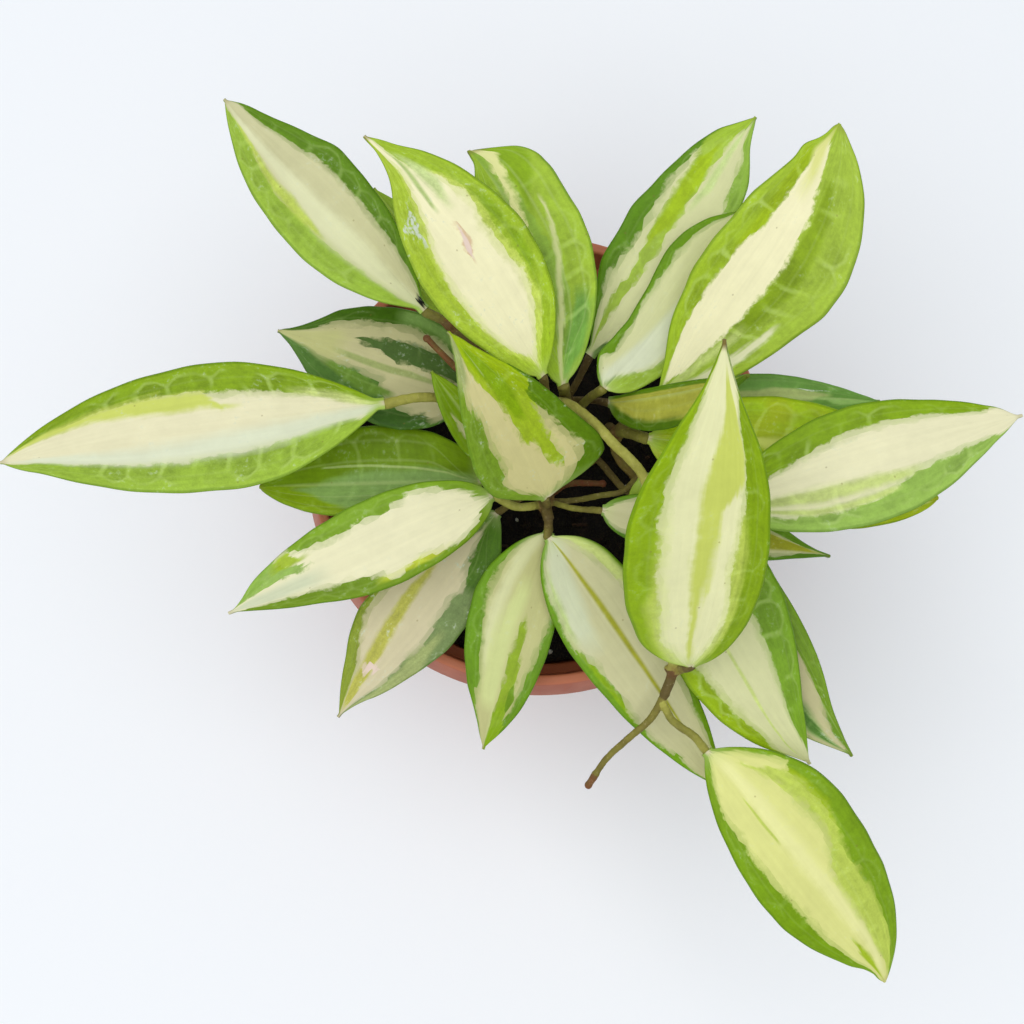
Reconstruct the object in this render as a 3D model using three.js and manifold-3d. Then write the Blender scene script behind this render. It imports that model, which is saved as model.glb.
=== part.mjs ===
// A potted hoya plant: a round plastic pot, its soil, leafy stems and their large blades.
// Sizes are in millimetres, +Z is up and the origin is the centre of the pot's base.

import * as THREE from "three";
import { mergeVertices } from "three/addons/utils/BufferGeometryUtils.js";
import Module from "manifold-3d";

const wasm = await Module();
wasm.setup();

// Driving dimensions of the pot
const potHeight = 100;
const baseRadius = 42;
const wallTopRadius = 55.2;
const wall = 2.2;
const footChamfer = 1;
const floorThickness = 3;
const collarDepth = 10.5;
const collarRadius = 61.3;
const collarStep = 1.4;
const collarChamfer = 0.6;
const collarTaper = 0.8;
const lipRadius = 59.2;
const lipWidth = 2.6;
const lipRound = 0.5;
const drainHoles = 6;
const drainRadius = 4;
const drainCircle = 27;
const drainSides = 16;
const roundSides = 40;

// Driving dimensions of the soil
const soilTop = 87.5;
const soilEdgeDrop = 1.5;
const soilCrumb = 1.1;
const soilRings = [0, 11, 22, 33, 44];
const seatGap = 0.3;

// Driving dimensions of the stems
const stemRadius = 1.7;
const petioleRadius = 1.35;
const twigRadius = 1.1;
const knobRadius = 2.5;
const knobSides = 8;
const knobRings = 5;
const rootDepth = 10;
const rootStraight = 14;
const holeClearance = 0.45;
const holeSides = 16;
const petioleGap = 0.6;
const petioleEnd = 2.6;
const tubeSides = 6;
const tubeStep = 5;
const leastTubeSteps = 2;

// Driving dimensions of the blades
const midribThickness = 1.3;
const edgeThickness = 0.75;
const baseHalfWidth = 1.5;
const tipHalfWidth = 0.4;
const lengthSteps = 12;
const widthSteps = 4;
const slopeStep = 0.02;

// Colours of the real pieces
const terracotta = 0xb4583a;
const blackSoil = 0x231a15;
const oliveStem = 0x8b8650;
const brownStem = 0x7d5b3c;
const freshGreen = 0x93bb3c;
const creamGreen = 0xd9dfa4;
const duskGreen = 0x5f8a55;

// Roughness of the real pieces
const potRoughness = 0.55;
const soilRoughness = 0.95;
const stemRoughness = 0.6;
const bladeRoughness = 0.4;

// Cutting tools reach this far past a face, and points nearer than the weld are one
const cutMargin = 1;
const weld = 1e-4;

// Each blade, with its base at a place above the pot's base. Heading turns from +X towards +Y,
// pitch lifts the tip and roll lifts the left edge, in degrees. Long, left and right are its
// length and half widths. Widest is where it is widest, as a share of its length, and skew moves
// that forwards on the left side. Round and point are the fullness of its base and its tip, where
// 0.5 is an ellipse. Bow bends it to the left, arch lifts its middle and cup lifts its edges.
const blades = {
  leaf_left_long: {
    at: [-38, 7, 130], heading: -171, pitch: 0, roll: 0, long: 93, left: 17, right: 14.5,
    widest: 0.43, skew: -0.03, round: 1.0, point: 0.93, bow: 0, arch: 6, cup: 2, colour: creamGreen,
  },
  leaf_upper_left: {
    at: [-28, 28, 138], heading: 134, pitch: 7, roll: 0, long: 69, left: 13, right: 10.5,
    widest: 0.5, skew: -0.02, round: 0.95, point: 0.95, bow: 0, arch: 4, cup: 2, colour: creamGreen,
  },
  leaf_upper_left_hidden: {
    at: [-15, 27, 124], heading: 128, pitch: 12, roll: 0, long: 43, left: 8, right: 6,
    widest: 0.42, skew: 0, round: 0.55, point: 1, bow: 0, arch: 2, cup: 1, colour: freshGreen,
  },
  leaf_top_cream: {
    at: [0, 11, 142], heading: 129, pitch: 19, roll: 0, long: 68, left: 9.5, right: 16,
    widest: 0.45, skew: -0.03, round: 0.73, point: 1, bow: -1.5, arch: 5, cup: 2, colour: creamGreen,
  },
  leaf_top_green: {
    at: [5, 11, 134], heading: 113, pitch: 14, roll: 0, long: 59, left: 8, right: 14,
    widest: 0.65, skew: -0.14, round: 0.5, point: 0.72, bow: -4.5, arch: 4, cup: 2, colour: freshGreen,
  },
  leaf_top_right_far: {
    at: [12, 20, 126], heading: 54, pitch: 15, roll: 0, long: 69, left: 11, right: 11.5,
    widest: 0.45, skew: 0.07, round: 0.95, point: 0.72, bow: 0, arch: 3, cup: 2, colour: creamGreen,
  },
  leaf_top_right_inner: {
    at: [15, 10, 133.5], heading: 52, pitch: 13, roll: 20, long: 52, left: 7.5, right: 9.2,
    widest: 0.45, skew: 0.12, round: 0.45, point: 0.87, bow: -1.5, arch: 0, cup: 0, colour: creamGreen,
  },
  leaf_top_right_near: {
    at: [28.5, 9, 132.8], heading: 55, pitch: 25, roll: 4, long: 74, left: 10, right: 19,
    widest: 0.44, skew: -0.13, round: 0.72, point: 0.62, bow: -3.5, arch: 4, cup: 2, colour: creamGreen,
  },
  leaf_right_short: {
    at: [17, 9, 122.5], heading: -4, pitch: 51, roll: 0, long: 46, left: 2.4, right: 10,
    widest: 0.43, skew: 0, round: 0.53, point: 1, bow: -1, arch: 0, cup: 1, colour: freshGreen,
  },
  leaf_right_behind: {
    at: [39, 9, 125], heading: 0, pitch: -2, roll: 0, long: 44, left: 6.5, right: 6.5,
    widest: 0.38, skew: 0, round: 0.55, point: 1, bow: 0, arch: 3, cup: 1, colour: duskGreen,
  },
  leaf_upright: {
    at: [35, -56, 130], heading: 89, pitch: 45, roll: 0, long: 88, left: 20, right: 11.5,
    widest: 0.44, skew: 0.03, round: 0.54, point: 1.2, bow: -2.5, arch: 6, cup: 3, colour: creamGreen,
  },
  leaf_right_long: {
    at: [38, -20, 134], heading: 16, pitch: 7, roll: 0, long: 77, left: 12.5, right: 15.5,
    widest: 0.52, skew: 0, round: 0.95, point: 1.35, bow: 0.5, arch: 5, cup: 2, colour: creamGreen,
  },
  leaf_right_green: {
    at: [26, -1, 127], heading: -12, pitch: 0, roll: 1, long: 71, left: 15, right: 15.5,
    widest: 0.49, skew: 0, round: 0.62, point: 0.72, bow: 1, arch: 4, cup: 1, colour: freshGreen,
  },
  leaf_right_low: {
    at: [15, -18, 123], heading: -9, pitch: -7, roll: -3, long: 56, left: 6.5, right: 8.5,
    widest: 0.35, skew: 0, round: 0.45, point: 1.05, bow: -0.5, arch: 5, cup: 1, colour: creamGreen,
  },
  leaf_lower_right: {
    at: [25, -9, 120], heading: -60, pitch: -5, roll: -3, long: 80, left: 15.5, right: 15.5,
    widest: 0.46, skew: -0.09, round: 0.45, point: 1.15, bow: -1, arch: 4, cup: 1, colour: creamGreen,
  },
  leaf_lower_right_under: {
    at: [33, -9, 117], heading: -56, pitch: -8, roll: 0, long: 81, left: 7, right: 15,
    widest: 0.52, skew: -0.1, round: 0.64, point: 1.13, bow: -0.5, arch: 4, cup: 1, colour: duskGreen,
  },
  leaf_bottom_cream: {
    at: [2, -24, 117], heading: -55, pitch: -7, roll: -2, long: 74, left: 11.5, right: 11.5,
    widest: 0.33, skew: 0, round: 0.63, point: 0.81, bow: -1, arch: 4, cup: 1, colour: creamGreen,
  },
  leaf_trailing: {
    at: [39, -76, 124], heading: -51, pitch: -16, roll: 0, long: 74, left: 18, right: 13,
    widest: 0.46, skew: -0.05, round: 0.74, point: 0.78, bow: 0.5, arch: 5, cup: -1, colour: creamGreen,
  },
  leaf_bottom_small: {
    at: [2, -22, 113], heading: -107, pitch: -7, roll: -5, long: 55, left: 9, right: 14,
    widest: 0.47, skew: 0.1, round: 0.7, point: 1.1, bow: -0.5, arch: 4, cup: 1, colour: creamGreen,
  },
  leaf_lower_left: {
    at: [-12, -15, 126], heading: -156, pitch: -2, roll: 0, long: 68, left: 10.5, right: 11.5,
    widest: 0.4, skew: 0, round: 0.55, point: 1.25, bow: 0.5, arch: 4, cup: 1, colour: creamGreen,
  },
  leaf_lower_left_dusty: {
    at: [-11, -17, 111], heading: -128, pitch: -4, roll: -4, long: 64, left: 11.5, right: 12.5,
    widest: 0.53, skew: -0.07, round: 0.4, point: 1.2, bow: 0, arch: 3, cup: 1, colour: duskGreen,
  },
  leaf_left_green: {
    at: [-15, -9, 112], heading: -178, pitch: 3, roll: 4, long: 55, left: 7, right: 15,
    widest: 0.45, skew: 0, round: 0.45, point: 0.65, bow: 0.5, arch: 2, cup: 1, colour: freshGreen,
  },
  leaf_centre: {
    at: [1, -15, 124], heading: 125, pitch: 41, roll: 0, long: 52, left: 13, right: 18,
    widest: 0.26, skew: 0.09, round: 0.35, point: 1.15, bow: -2, arch: 3, cup: 2, colour: freshGreen,
  },
  leaf_back_left: {
    at: [-19, 13, 114], heading: 163, pitch: 10, roll: 4, long: 49, left: 15.5, right: 15.5,
    widest: 0.37, skew: 0.03, round: 0.45, point: 0.93, bow: 0, arch: 2, cup: 1, colour: duskGreen,
  },
  leaf_centre_small: {
    at: [-9, -8, 122], heading: 129, pitch: 27, roll: 0, long: 31, left: 5.5, right: 4.5,
    widest: 0.41, skew: 0, round: 0.55, point: 0.93, bow: 0, arch: 1, cup: 0.5, colour: freshGreen,
  },
};

// Each leafy stem. Its first point stands in the soil, and its path runs on through the rest.
// A knob sits at each joint, a petiole runs from a joint through a middle point to a blade, and
// a twig is a bare spur or root with a path of its own.
const stems = {
  stem_centre: {
    colour: brownStem,
    path: [[2, -11, 88], [2, -11, 102], [0, -14, 113], [2, -19, 115]],
    knobs: [[0, -14, 113]],
    petioles: {
      leaf_lower_left: [[0, -14, 114], [-7, -15, 119]],
      leaf_centre: [[0, -14, 114], [2, -16.5, 119]],
      leaf_right_low: [[0, -14, 113], [9, -15, 118]],
      leaf_bottom_cream: [[2, -19, 115]],
      leaf_bottom_small: [[2, -17.5, 114]],
      leaf_lower_left_dusty: [[2, -11, 101], [-4, -12, 107]],
      leaf_lower_right: [[0, -14, 113], [12, -12, 113.5]],
    },
    twigs: [],
  },
  stem_upper_left: {
    colour: brownStem,
    path: [[-6, 16, 88], [-6, 15, 106], [-7, 15, 122], [-15, 21, 132], [-22, 25, 136]],
    knobs: [[-6.5, 15, 120], [-22, 25, 136]],
    petioles: {
      leaf_upper_left: [[-22, 25, 136], [-25, 26.5, 137]],
      leaf_upper_left_hidden: [[-6.5, 15, 119], [-10, 20, 122]],
    },
    twigs: [],
  },
  stem_left: {
    colour: oliveStem,
    path: [[-8, 4, 88], [-8, 3, 102], [-9, 2, 112], [-15, 6, 123], [-25, 9, 128]],
    knobs: [[-8.5, 2.5, 108]],
    petioles: {
      leaf_left_long: [[-25, 9, 128], [-31, 8.5, 129.5]],
      leaf_left_green: [[-8.5, 2.5, 106], [-10, -5, 110]],
      leaf_back_left: [[-8.5, 2.5, 107], [-13, 8, 111]],
      leaf_centre_small: [[-8.5, 2.5, 109], [-6, -6, 115]],
    },
    twigs: [[[-10, 3, 113], [-13, 10, 121], [-22, 18, 126], [-28, 24, 127]]],
  },
  stem_top: {
    colour: oliveStem,
    path: [[10, 11, 88], [10, 10, 101], [9, 9, 112]],
    knobs: [[9, 9, 112]],
    petioles: {
      leaf_top_green: [[9, 9, 112], [8.5, 12, 121]],
      leaf_top_right_far: [[9, 9, 112], [11, 14, 120]],
      leaf_top_right_inner: [[9, 9, 112], [12, 10, 123.5]],
      leaf_right_short: [[9, 9, 112], [13, 9.5, 117]],
    },
    twigs: [],
  },
  stem_right: {
    colour: brownStem,
    path: [[19, 9, 88], [18, 7, 101], [20, 3, 115]],
    knobs: [[20, 3, 115]],
    petioles: {
      leaf_top_right_near: [[20, 3, 115], [24, 2.5, 124]],
      leaf_right_green: [[20, 3, 115], [23, 1, 122]],
      leaf_right_behind: [[20, 3, 115], [29, 7, 118]],
    },
    twigs: [[[20, 3, 115], [19, -1, 108], [24, -6, 104]]],
  },
  stem_lower_right: {
    colour: brownStem,
    path: [[16, -3, 88], [17, -4, 97], [21, -9, 106], [26, -8, 111]],
    knobs: [[17.5, -5, 99]],
    petioles: {
      leaf_lower_right_under: [[26, -8, 111], [29, -6, 115]],
    },
    twigs: [[[17.5, -5, 99], [14, -6, 98], [10, -6.5, 97]]],
  },
  stem_trailing: {
    colour: oliveStem,
    path: [
      [-1, 7, 88], [-1, 7, 104], [2, 9, 120], [8, 6.5, 128], [14.5, 2.5, 131],
      [25, -12.5, 133], [27, -32, 137], [29, -48, 134], [31, -57, 127], [29, -63, 125],
    ],
    knobs: [[31, -57, 127], [29.5, -61, 125.5]],
    petioles: {
      leaf_top_cream: [[-1, 7, 112], [1.5, 6, 130]],
      leaf_right_long: [[25, -12.5, 133], [30, -19, 133.5]],
      leaf_upright: [[31, -57, 127], [34, -60, 126.5]],
      leaf_trailing: [[29, -63, 125], [33, -69, 125.5]],
    },
    twigs: [[[29, -63, 125], [22, -72, 122], [12, -84, 116]]],
  },
};

function vec(point) {
  return new THREE.Vector3(...point);
}

// Joined position-only geometry of a shape, for boolean work
function bare(geometry) {
  const copy = geometry.clone();
  copy.deleteAttribute("normal");
  copy.deleteAttribute("uv");
  return mergeVertices(copy, weld);
}

function toSolid(geometry) {
  const merged = bare(geometry);
  return new wasm.Manifold(
    new wasm.Mesh({
      numProp: 3,
      vertProperties: Float32Array.from(merged.attributes.position.array),
      triVerts: Uint32Array.from(merged.index.array),
    }),
  );
}

function toGeometry(solid) {
  const mesh = solid.getMesh();
  const geometry = new THREE.BufferGeometry();
  geometry.setAttribute("position", new THREE.BufferAttribute(mesh.vertProperties, 3));
  geometry.setIndex(new THREE.BufferAttribute(mesh.triVerts, 1));
  geometry.computeVertexNormals();
  return geometry;
}

function finish(colour, roughness) {
  return new THREE.MeshStandardMaterial({ color: colour, roughness, metalness: 0, flatShading: true });
}

function upright(geometry) {
  return geometry.rotateX(Math.PI / 2);
}

// Closed turned solid about the Z axis, from radius and height pairs
function turned(profile) {
  const points = profile.map(([radius, height]) => new THREE.Vector2(radius, height));
  return upright(new THREE.LatheGeometry(points, roundSides));
}

function cylinder(radius, bottom, top, x, y, sides) {
  const shape = upright(new THREE.CylinderGeometry(radius, radius, top - bottom, sides));
  return shape.translate(x, y, (bottom + top) / 2);
}

// Tube with closed ends along a smooth curve
function tube(curve, radius) {
  const ring = new THREE.Shape();
  ring.absarc(0, 0, radius, 0, 2 * Math.PI, false);
  return new THREE.ExtrudeGeometry(ring, {
    steps: Math.max(leastTubeSteps, Math.round(curve.getLength() / tubeStep)),
    curveSegments: tubeSides / 2,
    extrudePath: curve,
    bevelEnabled: false,
  });
}

function smoothPath(points) {
  return new THREE.CatmullRomCurve3(points.map((p) => (p.isVector3 ? p : vec(p))), false, "centripetal");
}

const innerLipRadius = lipRadius - lipWidth;
const collarBottom = potHeight - collarDepth;
const innerWallTop = wallTopRadius - wall;
const innerStepHeight = collarBottom - wall;

// Radius of the pot's inner wall at a height below the collar
function innerRadius(height) {
  const share = (height - floorThickness) / (innerStepHeight - floorThickness);
  return baseRadius - wall + share * (innerWallTop - baseRadius + wall);
}

function pot() {
  let result = toSolid(
    turned([
      [0, 0],
      [baseRadius - footChamfer, 0],
      [baseRadius, footChamfer],
      [wallTopRadius, collarBottom - 2 * collarChamfer],
      [collarRadius - collarChamfer, collarBottom - collarChamfer],
      [collarRadius, collarBottom],
      [collarRadius, collarBottom + collarStep],
      [lipRadius, potHeight - lipRound],
      [lipRadius - lipRound, potHeight],
      [innerLipRadius + lipRound, potHeight],
      [innerLipRadius, potHeight - lipRound],
      [innerLipRadius - collarTaper, collarBottom],
      [innerWallTop, innerStepHeight],
      [innerRadius(floorThickness), floorThickness],
      [0, floorThickness],
    ]),
  );
  for (let i = 0; i < drainHoles; i += 1) {
    const angle = (2 * Math.PI * (i + 0.5)) / drainHoles;
    const x = drainCircle * Math.cos(angle);
    const y = drainCircle * Math.sin(angle);
    const tool = cylinder(drainRadius, -cutMargin, floorThickness + cutMargin, x, y, drainSides);
    result = result.subtract(toSolid(tool));
  }
  return toGeometry(result);
}

// Height of the soil's lumpy top above or below its mean
function crumb(x, y) {
  const coarse = Math.sin(x / 5.3 + 1.1) * Math.cos(y / 6.1 - 0.4);
  const fine = 0.6 * Math.sin(x / 2.9 - y / 3.7 + 2);
  return soilCrumb * (coarse + fine);
}

function soil() {
  const bottom = floorThickness + seatGap;
  const edgeHeight = soilTop - soilEdgeDrop;
  const profile = [[0, bottom], [innerRadius(bottom) - seatGap, bottom]];
  profile.push([innerRadius(edgeHeight) - seatGap, edgeHeight]);
  for (const radius of [...soilRings].reverse()) {
    profile.push([radius, soilTop]);
  }
  const shape = turned(profile);
  const position = shape.attributes.position;
  for (let i = 0; i < position.count; i += 1) {
    if (position.getZ(i) > edgeHeight + weld) {
      position.setZ(i, soilTop + crumb(position.getX(i), position.getY(i)));
    }
  }
  let solid = toSolid(shape);
  const holeBottom = soilTop - rootDepth - seatGap;
  for (const stem of Object.values(stems)) {
    const [x, y] = stem.path[0];
    solid = solid.subtract(
      toSolid(cylinder(stemRadius + holeClearance, holeBottom, potHeight, x, y, holeSides)),
    );
  }
  return toGeometry(solid);
}

// Half width of a blade's side as a share of its widest, at a share along its length
function outline(along, widest, round, point) {
  if (along < widest) {
    const rest = 1 - along / widest;
    return (1 - rest * rest) ** round;
  }
  const past = (along - widest) / (1 - widest);
  return Math.max(0, 1 - past * past) ** point;
}

// Point in the middle of a blade's thickness, in the blade's own axes. Across runs from -1 on
// the right edge to 1 on the left edge.
function bladePoint(blade, along, across) {
  const side = Math.sign(across);
  const share = outline(along, blade.widest + side * blade.skew, blade.round, blade.point);
  const least = baseHalfWidth + along * (tipHalfWidth - baseHalfWidth);
  const half = Math.max((across > 0 ? blade.left : blade.right) * share, least);
  const hump = 4 * along * (1 - along);
  return new THREE.Vector3(
    blade.long * along,
    half * across + blade.bow * hump,
    blade.arch * hump + blade.cup * share * across * across,
  );
}

function bladeNormal(blade, along, across) {
  const forwards = bladePoint(blade, Math.min(1, along + slopeStep), across);
  forwards.sub(bladePoint(blade, Math.max(0, along - slopeStep), across));
  const sideways = bladePoint(blade, along, Math.min(1, across + slopeStep));
  sideways.sub(bladePoint(blade, along, Math.max(-1, across - slopeStep)));
  return forwards.cross(sideways).normalize();
}

// Closed thin blade. Both faces are split along the same diagonals.
function bladeGeometry(blade) {
  const corners = [];
  const faces = [];
  const rowLength = widthSteps + 1;
  for (const side of [1, -1]) {
    for (let i = 0; i <= lengthSteps; i += 1) {
      const along = (1 - Math.cos((Math.PI * i) / lengthSteps)) / 2;
      for (let j = 0; j <= widthSteps; j += 1) {
        const across = (2 * j) / widthSteps - 1;
        const fullness = 1 - across * across;
        const thickness = edgeThickness + fullness * (midribThickness - edgeThickness);
        const corner = bladePoint(blade, along, across);
        corner.addScaledVector(bladeNormal(blade, along, across), (side * thickness) / 2);
        corners.push(corner.x, corner.y, corner.z);
      }
    }
  }
  const top = (i, j) => i * rowLength + j;
  const under = (i, j) => top(i, j) + rowLength * (lengthSteps + 1);
  for (let i = 0; i < lengthSteps; i += 1) {
    for (let j = 0; j < widthSteps; j += 1) {
      const [a, b, c, d] = [top(i, j), top(i + 1, j), top(i + 1, j + 1), top(i, j + 1)];
      const [e, f, g, h] = [under(i, j), under(i + 1, j), under(i + 1, j + 1), under(i, j + 1)];
      faces.push(a, b, c, a, c, d, e, g, f, e, h, g);
    }
    const [a, b, e, f] = [top(i, 0), top(i + 1, 0), under(i, 0), under(i + 1, 0)];
    faces.push(e, f, b, e, b, a);
    const last = widthSteps;
    const [c, d, g, h] = [top(i, last), top(i + 1, last), under(i, last), under(i + 1, last)];
    faces.push(g, d, h, g, c, d);
  }
  for (let j = 0; j < widthSteps; j += 1) {
    const [a, b, e, f] = [top(0, j), top(0, j + 1), under(0, j), under(0, j + 1)];
    faces.push(e, b, f, e, a, b);
    const end = lengthSteps;
    const [c, d, g, h] = [top(end, j), top(end, j + 1), under(end, j), under(end, j + 1)];
    faces.push(g, h, d, g, d, c);
  }
  const geometry = new THREE.BufferGeometry();
  geometry.setAttribute("position", new THREE.Float32BufferAttribute(corners, 3));
  geometry.setIndex(faces);
  geometry.computeVertexNormals();
  return geometry;
}

function placeBlade(object, blade) {
  const { degToRad } = THREE.MathUtils;
  object.position.set(...blade.at);
  object.rotation.set(degToRad(blade.roll), -degToRad(blade.pitch), degToRad(blade.heading), "ZYX");
  object.updateMatrixWorld();
  return object;
}

// Place on a blade's own axis behind its base, in the plant's axes
function behindBase(blade, distance) {
  const frame = placeBlade(new THREE.Object3D(), blade);
  return frame.localToWorld(new THREE.Vector3(-distance, 0, 0));
}

function stemGeometry(stem) {
  const [x, y] = stem.path[0];
  const root = soilTop - rootDepth;
  const straight = [0, rootStraight / 2, rootStraight].map((rise) => [x, y, root + rise]);
  const path = [...straight, ...stem.path.slice(1)];
  let solid = toSolid(tube(smoothPath(path), stemRadius));
  for (const knob of stem.knobs) {
    const ball = new THREE.SphereGeometry(knobRadius, knobSides, knobRings);
    solid = solid.add(toSolid(ball.translate(...knob)));
  }
  for (const [name, points] of Object.entries(stem.petioles)) {
    const end = [behindBase(blades[name], petioleEnd), behindBase(blades[name], petioleGap)];
    solid = solid.add(toSolid(tube(smoothPath([...points.map(vec), ...end]), petioleRadius)));
  }
  for (const twig of stem.twigs) {
    solid = solid.add(toSolid(tube(smoothPath(twig), twigRadius)));
  }
  return toGeometry(solid);
}

function addPiece(group, name, geometry, material) {
  const mesh = new THREE.Mesh(geometry, material);
  mesh.name = name;
  group.add(mesh);
  return mesh;
}

const plant = new THREE.Group();
addPiece(plant, "pot", pot(), finish(terracotta, potRoughness));
addPiece(plant, "soil", soil(), finish(blackSoil, soilRoughness));
for (const [name, stem] of Object.entries(stems)) {
  addPiece(plant, name, stemGeometry(stem), finish(stem.colour, stemRoughness));
}
for (const [name, blade] of Object.entries(blades)) {
  const mesh = addPiece(plant, name, bladeGeometry(blade), finish(blade.colour, bladeRoughness));
  placeBlade(mesh, blade);
}

export default plant;
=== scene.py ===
import math
import random

import bmesh
import bpy
from mathutils import Euler, Matrix, Vector, kdtree, noise


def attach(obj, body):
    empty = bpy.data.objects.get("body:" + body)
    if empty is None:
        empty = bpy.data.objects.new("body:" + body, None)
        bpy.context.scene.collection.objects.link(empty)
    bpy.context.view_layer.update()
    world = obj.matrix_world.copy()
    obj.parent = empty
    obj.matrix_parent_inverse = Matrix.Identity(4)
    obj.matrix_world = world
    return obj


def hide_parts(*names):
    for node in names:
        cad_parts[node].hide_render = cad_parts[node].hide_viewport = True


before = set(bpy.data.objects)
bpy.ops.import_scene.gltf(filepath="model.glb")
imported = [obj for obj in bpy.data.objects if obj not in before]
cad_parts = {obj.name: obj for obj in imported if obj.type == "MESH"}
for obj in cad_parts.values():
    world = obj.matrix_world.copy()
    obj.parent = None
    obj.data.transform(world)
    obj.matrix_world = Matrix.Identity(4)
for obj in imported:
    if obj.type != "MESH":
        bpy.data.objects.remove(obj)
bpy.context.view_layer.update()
mm = 0.001

# Colours as they look in daylight, from 0 to 255
paints = {
    "cream": (238, 231, 191), "warmCream": (250, 243, 197), "paleCream": (228, 231, 200),
    "yellowCream": (240, 238, 184), "limeCream": (228, 228, 144), "clearCream": (241, 235, 194),
    "softCream": (230, 229, 184), "greyCream": (216, 220, 184), "dullCream": (222, 222, 169),
    "beige": (211, 207, 160), "shadeBeige": (204, 197, 150), "pinkBeige": (217, 206, 168),
    "greenBeige": (209, 213, 154), "sand": (222, 212, 152), "oldCream": (198, 196, 136),
    "butter": (240, 238, 165), "oldButter": (214, 220, 150), "softLime": (195, 211, 96),
    "streakLime": (205, 219, 130), "goldLime": (186, 184, 80), "hazeLime": (165, 175, 112),
    "mistGreen": (176, 196, 120), "mossGreen": (116, 149, 62), "mintGreen": (128, 176, 80),
    "stripeGreen": (142, 170, 22), "paleLime": (209, 220, 134), "lime": (194, 205, 62),
    "limeStripe": (209, 217, 108), "leafLime": (164, 190, 40), "oliveLime": (168, 168, 46),
    "paleGreen": (198, 214, 142), "midGreen": (162, 190, 64), "freshGreen": (140, 173, 40),
    "deepGreen": (112, 147, 24), "coolGreen": (148, 183, 82), "darkGreen": (84, 121, 28),
    "duskGreen": (90, 128, 60), "inkGreen": (72, 103, 50), "hazeGreen": (140, 172, 98),
    # The darkest colour in this row is for a painted shadow in a shaded gap at a leaf's base
    "scar": (236, 212, 196), "scarEdge": (208, 162, 128), "chalk": (212, 220, 200), "ink": (38, 30, 18),
    "brownTip": (134, 116, 68),
}

# rim, where a blade's marginal cells end, and the places of its nerves are shares of its half width
leafLook = {
    "lengthCells": 56, "widthCells": 16, "thickness": 1.3, "thinEdge": 0.5, "groove": 0.12, "grooveHalf": 1.3,
    "baseHalf": 1.5, "tipHalf": 0.4, "tipFrom": 0.65, "uneven": 0.006, "waves": 9.5,
    "veinCell": 8, "patchCell": 3.1, "rim": 0.76, "cellDark": 0.28, "veinPale": 0.36, "greenOver": 0.94,
    "innerNerve": 0.4, "outerNerve": 0.74, "roughness": 0.36, "shine": 0.13,
}
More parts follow.
